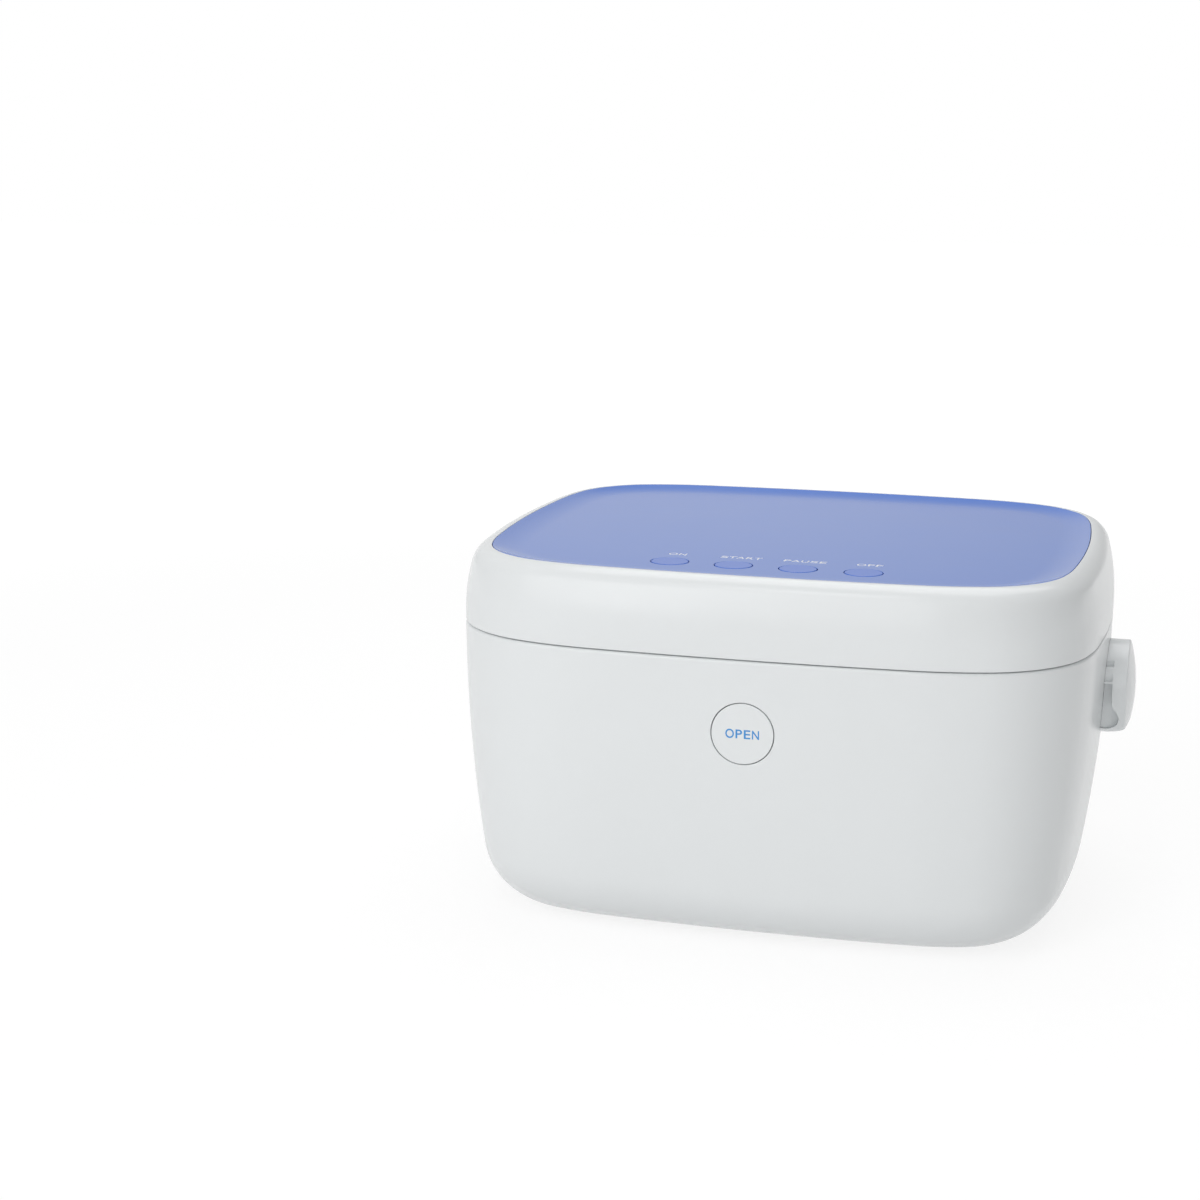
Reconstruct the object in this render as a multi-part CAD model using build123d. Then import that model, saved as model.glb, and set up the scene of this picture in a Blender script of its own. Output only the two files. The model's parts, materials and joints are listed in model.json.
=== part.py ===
from build123d import *
import math
import os

os.makedirs("parts", exist_ok=True)

# Driving dimensions of the box, in millimetres
WIDTH = 320.0
DEPTH = 280.0
FRONT_CROWN_R = 1220.0  # plan radius of the front and back walls
SIDE_CROWN_R = 700.0  # plan radius of the left and right walls
CORNER_R = 62.7  # plan radius of the four upright corners
EASE_R = 150.0  # plan radius that eases each wall into the corners
FRONT_END = 3.6  # degrees from the middle of the front wall to the end of its arc
SIDE_END = 5.2  # the same for the side walls
WALL = 2.6

# Side profile, from the floor up
FOOT_H = 2.0
BOTTOM_R = 34.0  # rounding between the underside and the walls
LOWER_R = 830.0  # slow curve of the lower wall
WIDEST_Z = 153.5
UPPER_R = 90.0  # curve of the lid's side
UPPER_ANGLE = 15.5
SHOULDER_R = 10.4  # rounding that leads onto the top
SHOULDER_END = 88.8
SEAM_Z = 147.5
SEAM_GAP = 0.6
EDGE_R = 0.6  # rounding of the lid's lower edge
LIP_R = 1.5  # rounding of the casing's upper edge, just under the seam

# Top panel and its buttons
PANEL_GAP = 0.3
DISH_DEPTH = 2.47
DISH_R = 52.0
BUTTON_R = 9.1
BUTTON_GAP = 0.4
BUTTON_PITCH = 31.6
BUTTON_Y = -91.0
BUTTON_TRAVEL = 0.8

# Front button and latch
OPEN_R = 14.8
OPEN_GAP = 0.45
OPEN_Z = 112.0
LATCH_PIVOT_Z = 80.0
LATCH_Y = -126.5

# Hinges at the back
HINGE_Y = 140.5
HINGE_X = 62.0
KNUCKLE_R = 5.0
PIN_R = 2.0
RUNNING_GAP = 0.05

# Chamber
TUB_INSET = 22.0
TUB_T = 1.2
FLOOR_Z = 26.0
FLOOR_R = 16.0
DECK_T = 2.2
LINER_T = 1.4
PAN_INSET = 27.0
PAN_TOP = 165.0
LED_SPOTS = [(x, y) for x in (-60.0, 60.0) for y in (-36.0, 36.0)]
BOARD_POSTS = [(x, y) for x in (-88.0, 88.0) for y in (-52.0, 52.0)]

# Side studs
STUD_Z = 114.0
STUD_R = 23.7
STUD_DOME_R = 85.0
STUD_REACH = 13.6
STUD_WEB = 16.5  # half the width of the wall between the two slots under the top tab

BASE_TOP = SEAM_Z - SEAM_GAP / 2
LID_LOW = SEAM_Z + SEAM_GAP / 2
FLANGE_Z = LID_LOW + 1.2
FLANGE_TOP = FLANGE_Z + LINER_T
HINGE_PROUD = HINGE_Y + KNUCKLE_R - DEPTH / 2
PLACE = Pos(0, -HINGE_PROUD / 2, 0)  # the origin is under the middle of the whole box


# Plan outline: four walls, four corners and eight easing arcs that meet without a corner
def polar(centre, reach, angle):
    """Point at a distance and angle from a centre."""
    a = math.radians(angle)
    return centre[0] + reach * math.cos(a), centre[1] + reach * math.sin(a)


def find_corner():
    """Corner centre: it lies equally far from the centres of both easing arcs, on the outer side."""
    apart = (EASE_FRONT[0] - EASE_SIDE[0], EASE_FRONT[1] - EASE_SIDE[1])
    gap = math.hypot(*apart)
    rise = math.sqrt((EASE_R - CORNER_R) ** 2 - gap**2 / 4)
    middle = ((EASE_FRONT[0] + EASE_SIDE[0]) / 2, (EASE_FRONT[1] + EASE_SIDE[1]) / 2)
    return middle[0] - rise * apart[1] / gap, middle[1] + rise * apart[0] / gap


EASE_SIDE = polar((WIDTH / 2 - SIDE_CROWN_R, 0), SIDE_CROWN_R - EASE_R, SIDE_END)
EASE_FRONT = polar((0, DEPTH / 2 - FRONT_CROWN_R), FRONT_CROWN_R - EASE_R, 90 - FRONT_END)
CORNER_X, CORNER_Y = find_corner()
CORNER_START = math.degrees(math.atan2(CORNER_Y - EASE_SIDE[1], CORNER_X - EASE_SIDE[0]))
CORNER_STOP = math.degrees(math.atan2(CORNER_Y - EASE_FRONT[1], CORNER_X - EASE_FRONT[0]))


def mirrored(arc, sx, sy):
    """Arc carried into another quarter of the plan."""
    (x, y), radius, start, sweep = arc
    if sx * sy < 0:
        start = -(start + sweep)
    if sx < 0:
        start += 180
    return (sx * x, sy * y), radius, start, sweep


def outline_arcs():
    """Centre, radius, start angle and sweep of each arc, anticlockwise from the right."""
    side = ((WIDTH / 2 - SIDE_CROWN_R, 0), SIDE_CROWN_R, -SIDE_END, 2 * SIDE_END)
    back = ((0, DEPTH / 2 - FRONT_CROWN_R), FRONT_CROWN_R, 90 - FRONT_END, 2 * FRONT_END)
    corner = [
        (EASE_SIDE, EASE_R, SIDE_END, CORNER_START - SIDE_END),
        ((CORNER_X, CORNER_Y), CORNER_R, CORNER_START, CORNER_STOP - CORNER_START),
        (EASE_FRONT, EASE_R, CORNER_STOP, 90 - FRONT_END - CORNER_STOP),
    ]
    arcs = []
    for sx, sy, wall in ((1, 1, side), (-1, 1, back), (-1, -1, side), (1, -1, back)):
        quarter = corner if sx * sy > 0 else corner[::-1]
        arcs += [mirrored(arc, sx, sy) for arc in [wall] + quarter]
    return arcs


def back_y(x, inset=0.0):
    """Y of the back outline at x, moved inwards."""
    return math.sqrt((FRONT_CROWN_R - inset) ** 2 - x**2) + DEPTH / 2 - FRONT_CROWN_R


def side_x(y, inset=0.0):
    """X of the right outline at y, moved inwards."""
    return math.sqrt((SIDE_CROWN_R - inset) ** 2 - y**2) + WIDTH / 2 - SIDE_CROWN_R


def rim_spots(front_x, hind_x, flank_y, inset):
    """Eight places round the rim: two on each wall."""
    spots = [(s * front_x, -back_y(front_x, inset)) for s in (-1, 1)]
    spots += [(s * hind_x, back_y(hind_x, inset)) for s in (-1, 1)]
    spots += [(s * side_x(flank_y, inset), t * flank_y) for s in (-1, 1) for t in (-1, 1)]
    return spots


# Solid helpers
def slab(inset, low, high):
    """Plate with the plan outline moved inwards."""
    arcs = [CenterArc(c, r - inset, a, s) for c, r, a, s in outline_arcs()]
    return Pos(0, 0, low) * extrude(make_face(arcs), high - low)


def ring(profile):
    """Ring round the box. The profile lists lines and arcs as (inset, height) points."""
    pieces = []
    for centre, radius, start, sweep in outline_arcs():
        edges = []
        for points in profile:
            local = [(radius - inset, height) for inset, height in points]
            edges.append(Line(*local) if len(local) == 2 else ThreePointArc(*local))
        face = Plane.XZ * make_face(edges)
        piece = revolve(face, Axis.Z, sweep)
        pieces.append(Pos(centre[0], centre[1], 0) * Rot(0, 0, start) * piece)
    return Part() + pieces


def arc_run(centre, radius, start, end):
    """Arc of a ring profile. Angle 0 faces outwards and 90 faces up."""
    points = []
    for angle in (start, (start + end) / 2, end):
        a = math.radians(angle)
        points.append((centre[0] - radius * math.cos(a), centre[1] + radius * math.sin(a)))
    return tuple(points)


def joined(*runs):
    """Close a ring profile: straight lines fill the gaps between the given runs."""
    result = []
    for run, following in zip(runs, runs[1:] + runs[:1]):
        if len(run) > 1:
            result.append(run)
        if math.dist(run[-1], following[0]) > 1e-6:
            result.append((run[-1], following[0]))
    return result


def block(x0, x1, y0, y1, z0, z1):
    """Box between two corners."""
    size = Box(abs(x1 - x0), abs(y1 - y0), abs(z1 - z0))
    return Pos((x0 + x1) / 2, (y0 + y1) / 2, (z0 + z1) / 2) * size


def post(x, y, z0, z1, radius):
    """Upright cylinder."""
    return Pos(x, y, (z0 + z1) / 2) * Cylinder(radius, abs(z1 - z0))


def rod_x(y, z, x0, x1, radius):
    """Cylinder along X."""
    return Pos((x0 + x1) / 2, y, z) * Rot(0, 90, 0) * Cylinder(radius, abs(x1 - x0))


def rod_y(x, z, y0, y1, radius):
    """Cylinder along Y."""
    return Pos(x, (y0 + y1) / 2, z) * Rot(90, 0, 0) * Cylinder(radius, abs(y1 - y0))


def screw(head_r=2.7, head_h=1.3, shank_r=1.35, length=9.0):
    """Pan-head screw with a cross slot, head up, seat at z = 0."""
    body = post(0, 0, 0, head_h, head_r) + post(0, 0, -length, 0, shank_r)
    body = body - block(-1.7, 1.7, -0.35, 0.35, head_h - 0.8, head_h + 1)
    return body - block(-0.35, 0.35, -1.7, 1.7, head_h - 0.8, head_h + 1)


def save(name, *shapes):
    """Write one node: one solid, or a group of separate solids."""
    solids = [PLACE * solid for shape in shapes for solid in shape.solids()]
    whole = solids[0] if len(solids) == 1 else Compound(children=solids)
    export_step(whole, f"parts/{name}.step")
    print(name, len(solids))


# Side profile of the outer skin
LOWER_CENTRE = (LOWER_R, WIDEST_Z)
FOOT_CENTRE_Z = FOOT_H + BOTTOM_R
FOOT_ANGLE = -math.degrees(math.asin((WIDEST_Z - FOOT_CENTRE_Z) / (LOWER_R - BOTTOM_R)))
FOOT_CENTRE = (
    LOWER_R - (LOWER_R - BOTTOM_R) * math.cos(math.radians(FOOT_ANGLE)),
    FOOT_CENTRE_Z,
)
UPPER_CENTRE = (UPPER_R, WIDEST_Z)
SHOULDER_CENTRE = (
    UPPER_R - (UPPER_R - SHOULDER_R) * math.cos(math.radians(UPPER_ANGLE)),
    WIDEST_Z + (UPPER_R - SHOULDER_R) * math.sin(math.radians(UPPER_ANGLE)),
)
CREST = arc_run(SHOULDER_CENTRE, SHOULDER_R, SHOULDER_END, SHOULDER_END)[0]


def wall_angle(z, radius=LOWER_R):
    """Angle on the lower wall's arc at height z."""
    return math.degrees(math.asin((z - WIDEST_Z) / radius))


def wall_inset(z, depth=0.0):
    """How far the lower wall's surface, or a surface inside it, lies in from the outline."""
    return LOWER_R - math.sqrt((LOWER_R - depth) ** 2 - (WIDEST_Z - z) ** 2)


def lower_run(depth, low, high):
    """Lower wall between two heights, at a depth inside the skin."""
    radius = LOWER_R - depth
    return arc_run(LOWER_CENTRE, radius, wall_angle(low, radius), wall_angle(high, radius))


def skin_block(extra, low, high):
    """Thick ring whose outside is the lower wall, moved out by extra."""
    wall = lower_run(-extra, low, high)
    return ring(joined(wall, ((30.0, high),), ((30.0, low),)))


# Lower casing: the outer shell with its screw posts and openings
COVER_INSET = FOOT_CENTRE[0] + 1.0
LEDGE_INSET = COVER_INSET + 10.5
LEDGE_Z = 4.5
LEDGE_TOP = 7.0
POST_R = 5.0
POST_INSET = 6.5
RIM_SPOTS = (70.0, 26.0, 55.0)
COVER_SPOTS = (55.0, 55.0, 35.0)
FOOT_SPOTS = [(x, y) for x in (-88.0, 88.0) for y in (-68.0, 68.0)]
INLET_X = -60.0
INLET_Z = 42.0
INLET_FACE_Y = 133.2
BRACKET_SCREW_X = 17.0
GUIDE_SCREW_X = 24.0
HINGE_SCREW_X = 12.0
HINGE_SCREW_Z = 126.0
HINGE_PLATE_Y = 133.1
BRACKET_Y = -131.6
GUIDE_EAR_Y = -131.0
SCREW_FIT = 1.4
foot_in = BOTTOM_R - WALL
ledge_angle = -math.degrees(math.asin((FOOT_CENTRE_Z - LEDGE_TOP) / foot_in))
base_lip = wall_inset(BASE_TOP - LIP_R)
base_shell = ring(
    joined(
        arc_run(FOOT_CENTRE, BOTTOM_R, -90, FOOT_ANGLE),
        lower_run(0, FOOT_CENTRE_Z + BOTTOM_R * math.sin(math.radians(FOOT_ANGLE)), BASE_TOP - LIP_R),
        arc_run((base_lip + LIP_R, BASE_TOP - LIP_R), LIP_R, 0, 90),
        ((wall_inset(BASE_TOP, WALL), BASE_TOP),),
        lower_run(WALL, BASE_TOP, FOOT_CENTRE_Z + foot_in * math.sin(math.radians(FOOT_ANGLE))),
        arc_run(FOOT_CENTRE, foot_in, FOOT_ANGLE, ledge_angle),
        ((LEDGE_INSET, LEDGE_TOP),),
        ((LEDGE_INSET, LEDGE_Z),),
        ((COVER_INSET, LEDGE_Z),),
        ((COVER_INSET, FOOT_H),),
    )
)
deck_low = BASE_TOP - DECK_T
for x, y in rim_spots(*RIM_SPOTS, POST_INSET):
    base_shell += post(x, y, 116.0, deck_low, POST_R)
for x, y in rim_spots(*COVER_SPOTS, LEDGE_INSET - 5.5):
    base_shell += post(x, y, LEDGE_TOP - 0.5, 9.5, 4.0)
for s in (-1, 1):
    base_shell += rod_y(s * BRACKET_SCREW_X, LATCH_PIVOT_Z, BRACKET_Y, -134.9, 3.5)
    base_shell += rod_y(s * GUIDE_SCREW_X, OPEN_Z, GUIDE_EAR_Y, -137.2, 3.5)
    for t in (-1, 1):
        boss_x = s * HINGE_X + t * HINGE_SCREW_X
        boss_end = back_y(abs(boss_x), wall_inset(HINGE_SCREW_Z, 1.0))
        base_shell += rod_y(boss_x, HINGE_SCREW_Z, HINGE_PLATE_Y, boss_end, 3.5)
base_shell += rod_y(INLET_X, INLET_Z, 124.0, INLET_FACE_Y, 9.5)
base_shell -= rod_y(INLET_X, INLET_Z, 120.0, 136.0, 5.6)
base_shell -= rod_y(0, OPEN_Z, -145.0, -130.0, OPEN_R + OPEN_GAP)
for x, y in rim_spots(*RIM_SPOTS, POST_INSET):
    base_shell -= post(x, y, 132.0, 150.0, SCREW_FIT)
for x, y in rim_spots(*COVER_SPOTS, LEDGE_INSET - 5.5):
    base_shell -= post(x, y, 0.0, 12.0, SCREW_FIT)
for s in (-1, 1):
    base_shell -= rod_y(s * BRACKET_SCREW_X, LATCH_PIVOT_Z, -130.0, -135.0, SCREW_FIT)
    base_shell -= rod_y(s * GUIDE_SCREW_X, OPEN_Z, -130.0, -137.0, SCREW_FIT)
    base_shell -= rod_x(0, STUD_Z, s * 150.0, s * 165.0, 1.6)
    for t in (-1, 1):
        base_shell -= rod_y(s * HINGE_X + t * HINGE_SCREW_X, HINGE_SCREW_Z, 130.0, 135.6, SCREW_FIT)
    base_shell -= block(s * HINGE_X - 18.6, s * HINGE_X + 18.6, 130.0, 145.0, 142.4, 150.0)
save("base_shell", base_shell)

# Bottom cover with vent slots, board posts and foot recesses
BOARD_X, BOARD_Y = -60.0, 40.0
BOARD_Z = 8.6
POWER_POSTS = [(BOARD_X + x, BOARD_Y + y) for x in (-39.0, 39.0) for y in (-24.0, 24.0)]
COVER_T = 2.4
FOOT_R = 9.0
bottom_cover = slab(COVER_INSET + 0.3, FOOT_H, FOOT_H + COVER_T)
for x, y in POWER_POSTS:
    bottom_cover += post(x, y, FOOT_H + COVER_T, BOARD_Z, 3.0)
    bottom_cover -= post(x, y, FOOT_H + 1.5, BOARD_Z + 1, SCREW_FIT)
for x, y in FOOT_SPOTS:
    bottom_cover -= post(x, y, 0, FOOT_H + 1.0, FOOT_R + 0.1)
for x, y in rim_spots(*COVER_SPOTS, LEDGE_INSET - 5.5):
    bottom_cover -= post(x, y, 0, FOOT_H + 1.3, 2.9)
    bottom_cover -= post(x, y, 0, FOOT_H + 3, 1.7)
for row in range(8):
    slot_y = -35.0 + row * 10.0
    bottom_cover -= block(30.0, 72.0, slot_y - 1.3, slot_y + 1.3, 0, 6)
save("bottom_cover", bottom_cover)
cover_seats = rim_spots(*COVER_SPOTS, LEDGE_INSET - 5.5)
save("cover_screws", *[Pos(x, y, FOOT_H + 1.3) * Rot(180, 0, 0) * screw(length=6.0) for x, y in cover_seats])


def rubber_foot(x, y):
    """Round foot with a softened lower edge and a shallow recess for its screw."""
    foot = post(x, y, 0, FOOT_H + 1.0, FOOT_R)
    foot = chamfer(foot.edges().group_by(Axis.Z)[0], 0.6)
    return foot - post(x, y, -1, 0.8, 4.5)


save("rubber_feet", *[rubber_foot(x, y) for x, y in FOOT_SPOTS])

# Reflective tub and the deck round its mouth
tub_in = TUB_INSET + TUB_T
floor_centre = (tub_in + FLOOR_R, FLOOR_Z + FLOOR_R)
chamber_liner = ring(
    joined(
        ((17.5, deck_low),),
        ((tub_in, deck_low),),
        arc_run(floor_centre, FLOOR_R, 0, -90),
        arc_run(floor_centre, FLOOR_R + TUB_T, -90, 0),
        ((TUB_INSET, deck_low - TUB_T),),
        ((17.5, deck_low - TUB_T),),
    )
)
chamber_liner += slab(floor_centre[0], FLOOR_Z - TUB_T, FLOOR_Z)
for x, y in LED_SPOTS:
    chamber_liner -= post(x, y, 20, 30, 8.8)
save("chamber_liner", chamber_liner)

DECK_INSET = 2.9
MOUTH_INSET = 24.0
base_deck = ring(
    joined(
        ((DECK_INSET, deck_low),),
        ((DECK_INSET, BASE_TOP),),
        arc_run((MOUTH_INSET - 1.0, BASE_TOP - 1.0), 1.0, 90, 180),
        ((MOUTH_INSET, deck_low),),
    )
)
for x, y in rim_spots(*RIM_SPOTS, POST_INSET):
    base_deck -= post(x, y, BASE_TOP - 1.4, BASE_TOP + 1, 2.9)
    base_deck -= post(x, y, 140, 150, 1.6)
base_deck -= block(-10.5, 10.5, -133.2, -127.3, 140, 150)
for s in (-1, 1):
    base_deck -= rod_x(HINGE_Y, SEAM_Z, s * HINGE_X - 18.6, s * HINGE_X + 18.6, KNUCKLE_R + 0.5)
save("base_deck", base_deck)
deck_seats = rim_spots(*RIM_SPOTS, POST_INSET)
save("deck_screws", *[Pos(x, y, BASE_TOP - 1.4) * screw(length=12.0) for x, y in deck_seats])


# Wire rack that lifts the mask and hose off the floor
RACK_INSET = 28.0
RACK_Z = 38.0
FRAME_WIRE_R = 2.0
CROSS_WIRE_R = 1.25
CROSS_PITCH = 18.0
STIFFENER_Y = 60.0
PAD_X = 95.0


def frame_wire():
    """Closed loop of round wire that follows the plan outline."""
    profile = []
    for start in (0, 180):
        profile.append(arc_run((RACK_INSET, RACK_Z), FRAME_WIRE_R, start, start + 180))
    return ring(profile)


wire_rack = frame_wire()
for s in (-1, 1):
    reach = side_x(STIFFENER_Y, RACK_INSET)
    wire_rack += rod_x(s * STIFFENER_Y, RACK_Z, -reach, reach, FRAME_WIRE_R)
for step in range(-6, 7):
    wire_x = step * CROSS_PITCH
    inner_x = abs(wire_x) - CORNER_X
    reach = back_y(wire_x, RACK_INSET)
    if inner_x > 0:
        reach = CORNER_Y + math.sqrt((CORNER_R - RACK_INSET) ** 2 - inner_x**2)
    wire_rack += rod_y(wire_x, RACK_Z + FRAME_WIRE_R + 1.0, -reach, reach, CROSS_WIRE_R)
save("wire_rack", wire_rack)
pads = [post(s * PAD_X, t * STIFFENER_Y, FLOOR_Z, RACK_Z - FRAME_WIRE_R, 4.5) for s in (-1, 1) for t in (-1, 1)]
save("rack_pads", *pads)

# Light boards, LEDs, windows and bezels: one set looks up, one looks down
BOARD_SIZE = (190.0, 120.0, 1.6)
LED_H = 1.4
WINDOW_R = 8.6
WINDOW_T = 2.5
BEZEL_R = 12.0


def light_board(low):
    """Circuit board with rounded corners and screw holes."""
    board = extrude(RectangleRounded(BOARD_SIZE[0], BOARD_SIZE[1], 5.0), BOARD_SIZE[2])
    for x, y in BOARD_POSTS:
        board -= post(x, y, -1, 3, 1.2)
    return Pos(0, 0, low) * board


def bezel(seat, up):
    """Ring that clamps a window: it stands on the seat, towards up."""
    body = post(0, 0, 0, 1.8, BEZEL_R) - post(0, 0, -1, 0.9, WINDOW_R + 0.3)
    body -= post(0, 0, -1, 3, WINDOW_R - 1.0)
    body = chamfer(body.edges().filter_by(GeomType.CIRCLE).group_by(Axis.Z)[-1], 0.5)
    return Pos(0, 0, seat) * Rot(0 if up else 180, 0, 0) * body


def placed(shape, spots):
    """Copies of a shape at several places."""
    return [Pos(x, y, 0) * shape for x, y in spots]


base_board_z = FLOOR_Z - TUB_T - 2.8 - BOARD_SIZE[2]
base_board_top = base_board_z + BOARD_SIZE[2]
save("uvc_board_base", light_board(base_board_z))
save("board_spacers_base", *placed(post(0, 0, base_board_top, FLOOR_Z - TUB_T, 3.0), BOARD_POSTS))
save("uvc_leds_base", *placed(block(-1.75, 1.75, -1.75, 1.75, base_board_top, base_board_top + LED_H), LED_SPOTS))
save("led_windows_base", *placed(post(0, 0, FLOOR_Z + 0.7 - WINDOW_T, FLOOR_Z + 0.7, WINDOW_R), LED_SPOTS))
save("window_bezels_base", *placed(bezel(FLOOR_Z, True), LED_SPOTS))

PAN_UNDER = PAN_TOP - LINER_T
lid_board_z = PAN_TOP + 2.8
save("uvc_board_lid", light_board(lid_board_z))
save("board_spacers_lid", *placed(post(0, 0, PAN_TOP, lid_board_z, 3.0), BOARD_POSTS))
save("uvc_leds_lid", *placed(block(-1.75, 1.75, -1.75, 1.75, lid_board_z - LED_H, lid_board_z), LED_SPOTS))
save("led_windows_lid", *placed(post(0, 0, PAN_UNDER - 0.7, PAN_UNDER - 0.7 + WINDOW_T, WINDOW_R), LED_SPOTS))
save("window_bezels_lid", *placed(bezel(PAN_UNDER, False), LED_SPOTS))

# Power board, its parts, the inlet and the leads
POWER_BOARD = (90.0, 60.0, 1.6)
power_board = Pos(BOARD_X, BOARD_Y, BOARD_Z) * extrude(RectangleRounded(90.0, 60.0, 3.0), POWER_BOARD[2])
for x, y in POWER_POSTS:
    power_board -= post(x, y, 0, 20, 1.6)
board_top = BOARD_Z + POWER_BOARD[2]
save("power_board", power_board)
save("power_board_screws", *[Pos(x, y, board_top) * screw(length=6.0) for x, y in POWER_POSTS])


def coil():
    """Ring core of the power choke."""
    return Pos(BOARD_X + 22, BOARD_Y + 2, board_top + 3.1) * Torus(6.0, 3.0)


INLET_SOCKET = (INLET_X, BOARD_Y + 24.0)
HARNESS_SOCKET = (-32.0, BOARD_Y + 24.0)
power_parts = [post(BOARD_X - 28, BOARD_Y + 4 - 14 * i, board_top, board_top + 9.0, 4.5) for i in range(2)]
power_parts += [coil()]
power_parts += [block(BOARD_X - 12, BOARD_X + 2, BOARD_Y - 10, BOARD_Y + 4, board_top, board_top + 2.2)]
power_parts += [block(BOARD_X - 4, BOARD_X + 12, BOARD_Y - 26, BOARD_Y - 20, board_top, board_top + 4.5)]
for x, y in (INLET_SOCKET, HARNESS_SOCKET):
    power_parts += [block(x - 5, x + 5, y - 4, y + 4, board_top, board_top + 6.0)]
save("power_components", *power_parts)

INLET_BARREL_R = 5.5
INLET_REAR_Y = 118.3
SOCKET_R = 2.75
dc_inlet = rod_y(INLET_X, INLET_Z, INLET_REAR_Y, INLET_FACE_Y, INLET_BARREL_R)
dc_inlet += rod_y(INLET_X, INLET_Z, INLET_FACE_Y, INLET_FACE_Y + 1.4, 7.6)
dc_inlet -= rod_y(INLET_X, INLET_Z, 125.0, 140.0, SOCKET_R)
dc_inlet += rod_y(INLET_X, INLET_Z, 124.0, 133.4, 1.05)
save("dc_inlet", dc_inlet)
nut = Plane.XZ * RegularPolygon(8.0, 6)
inlet_nut = Pos(INLET_X, 123.8, INLET_Z) * extrude(nut, 2.3)
inlet_nut -= rod_y(INLET_X, INLET_Z, 118.0, 126.0, INLET_BARREL_R)
save("inlet_nut", inlet_nut)


def lead(points, radius):
    """Round lead along straight runs and tangent arcs, each as large as its runs allow."""
    radii = []
    for a, b, c in zip(points, points[1:], points[2:]):
        before = Vector(*b) - Vector(*a)
        after = Vector(*c) - Vector(*b)
        run = min(before.length, after.length)
        turn = math.radians(before.get_angle(after))
        radii.append(0.45 * run / math.tan(turn / 2))
    print("lead radii", [round(r, 1) for r in radii])
    path = FilletPolyline(*points, radius=radii)
    section = Plane(origin=path @ 0, z_dir=path % 0) * Circle(radius)
    return sweep(section, path)


inlet_route = [
    (INLET_X, INLET_REAR_Y + 1.6, INLET_Z - INLET_BARREL_R - 0.1),
    (INLET_X, INLET_REAR_Y + 1.6, 26.4),
    (INLET_X, 113.0, 17.0),
    (INLET_X, 99.5, 13.4),
    (INLET_X, 83.5, 13.2),
    (INLET_X, INLET_SOCKET[1] + 4.1, 13.4),
]
save("inlet_lead", lead(inlet_route, 1.4))
harness_route = [
    (HARNESS_SOCKET[0], HARNESS_SOCKET[1] + 4.1, 13.4),
    (HARNESS_SOCKET[0], 88.0, 13.4),
    (-24.0, 108.0, 15.0),
    (-16.0, 120.5, 27.0),
    (-12.0, 125.0, 50.0),
    (-12.0, 127.2, 90.0),
    (-12.0, 128.0, 134.0),
]
harness_plug = block(-17.0, -7.0, 125.5, 130.5, 134.0, 142.0)
save("base_harness", lead(harness_route, 1.6), harness_plug)

# Front button, its guide and its spring
guide_front, guide_rear = -134.6, -128.1
button_guide = rod_y(0, OPEN_Z, guide_front, guide_rear, 19.4)
button_guide -= rod_y(0, OPEN_Z, guide_front - 1, guide_rear - 1.2, 17.6)
ear = block(-28.0, 28.0, GUIDE_EAR_Y, GUIDE_EAR_Y + 1.5, OPEN_Z - 4.0, OPEN_Z + 4.0)
button_guide += ear - rod_y(0, OPEN_Z, -140.0, -120.0, 18.5)
button_guide -= rod_y(0, OPEN_Z, -140.0, -120.0, 4.6)
for s in (-1, 1):
    button_guide -= rod_y(s * GUIDE_SCREW_X, OPEN_Z, -140.0, -120.0, 1.6)
save("button_guide", button_guide)

open_button = rod_y(0, OPEN_Z, -145.0, -132.3, OPEN_R) & skin_block(0, 60.0, 146.0)
open_button = fillet(open_button.edges().filter_by(GeomType.BSPLINE), 0.3)
open_button += rod_y(0, OPEN_Z, -134.4, -133.3, 17.2)
open_button -= rod_y(0, OPEN_Z, -136.3, -130.0, 13.6)
open_button += rod_y(0, OPEN_Z, -137.0, LATCH_Y - 1.3, 3.6)
save("open_button", open_button)


def coil_spring(radius, wire_r, pitch, height):
    """Round-wire helix along Z from z = 0."""
    path = Helix(pitch=pitch, height=height, radius=radius)
    section = Plane(origin=path @ 0, z_dir=path % 0) * Circle(wire_r)
    return sweep(section, path)


button_spring = coil_spring(6.0, 0.4, 1.8, 5.9)
save("open_button_spring", Pos(0, -135.8, OPEN_Z) * Rot(-90, 0, 0) * button_spring)

# Latch: bracket, pin, spring and the lever that holds the lid's catch
PIN_HOLE = 1.5
latch_bracket = block(-22.0, 22.0, BRACKET_Y, BRACKET_Y + 1.4, LATCH_PIVOT_Z - 12, LATCH_PIVOT_Z + 11)
for s in (-1, 1):
    latch_bracket += block(s * 8.0, s * 9.5, BRACKET_Y + 1.2, LATCH_Y + 3.5, LATCH_PIVOT_Z - 5, LATCH_PIVOT_Z + 5)
    latch_bracket -= rod_y(s * BRACKET_SCREW_X, LATCH_PIVOT_Z, -140.0, -120.0, 1.6)
latch_bracket -= rod_x(LATCH_Y, LATCH_PIVOT_Z, -12.0, 12.0, PIN_HOLE)
save("latch_bracket", latch_bracket)
save("latch_pin", rod_x(LATCH_Y, LATCH_PIVOT_Z, -10.3, 10.3, PIN_HOLE))
bracket_screws = []
for s in (-1, 1):
    for x, z, seat in ((BRACKET_SCREW_X, LATCH_PIVOT_Z, BRACKET_Y + 1.4), (GUIDE_SCREW_X, OPEN_Z, GUIDE_EAR_Y + 1.5)):
        bracket_screws.append(Pos(s * x, seat, z) * Rot(-90, 0, 0) * screw(length=4.2))
save("bracket_screws", *bracket_screws)

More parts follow.
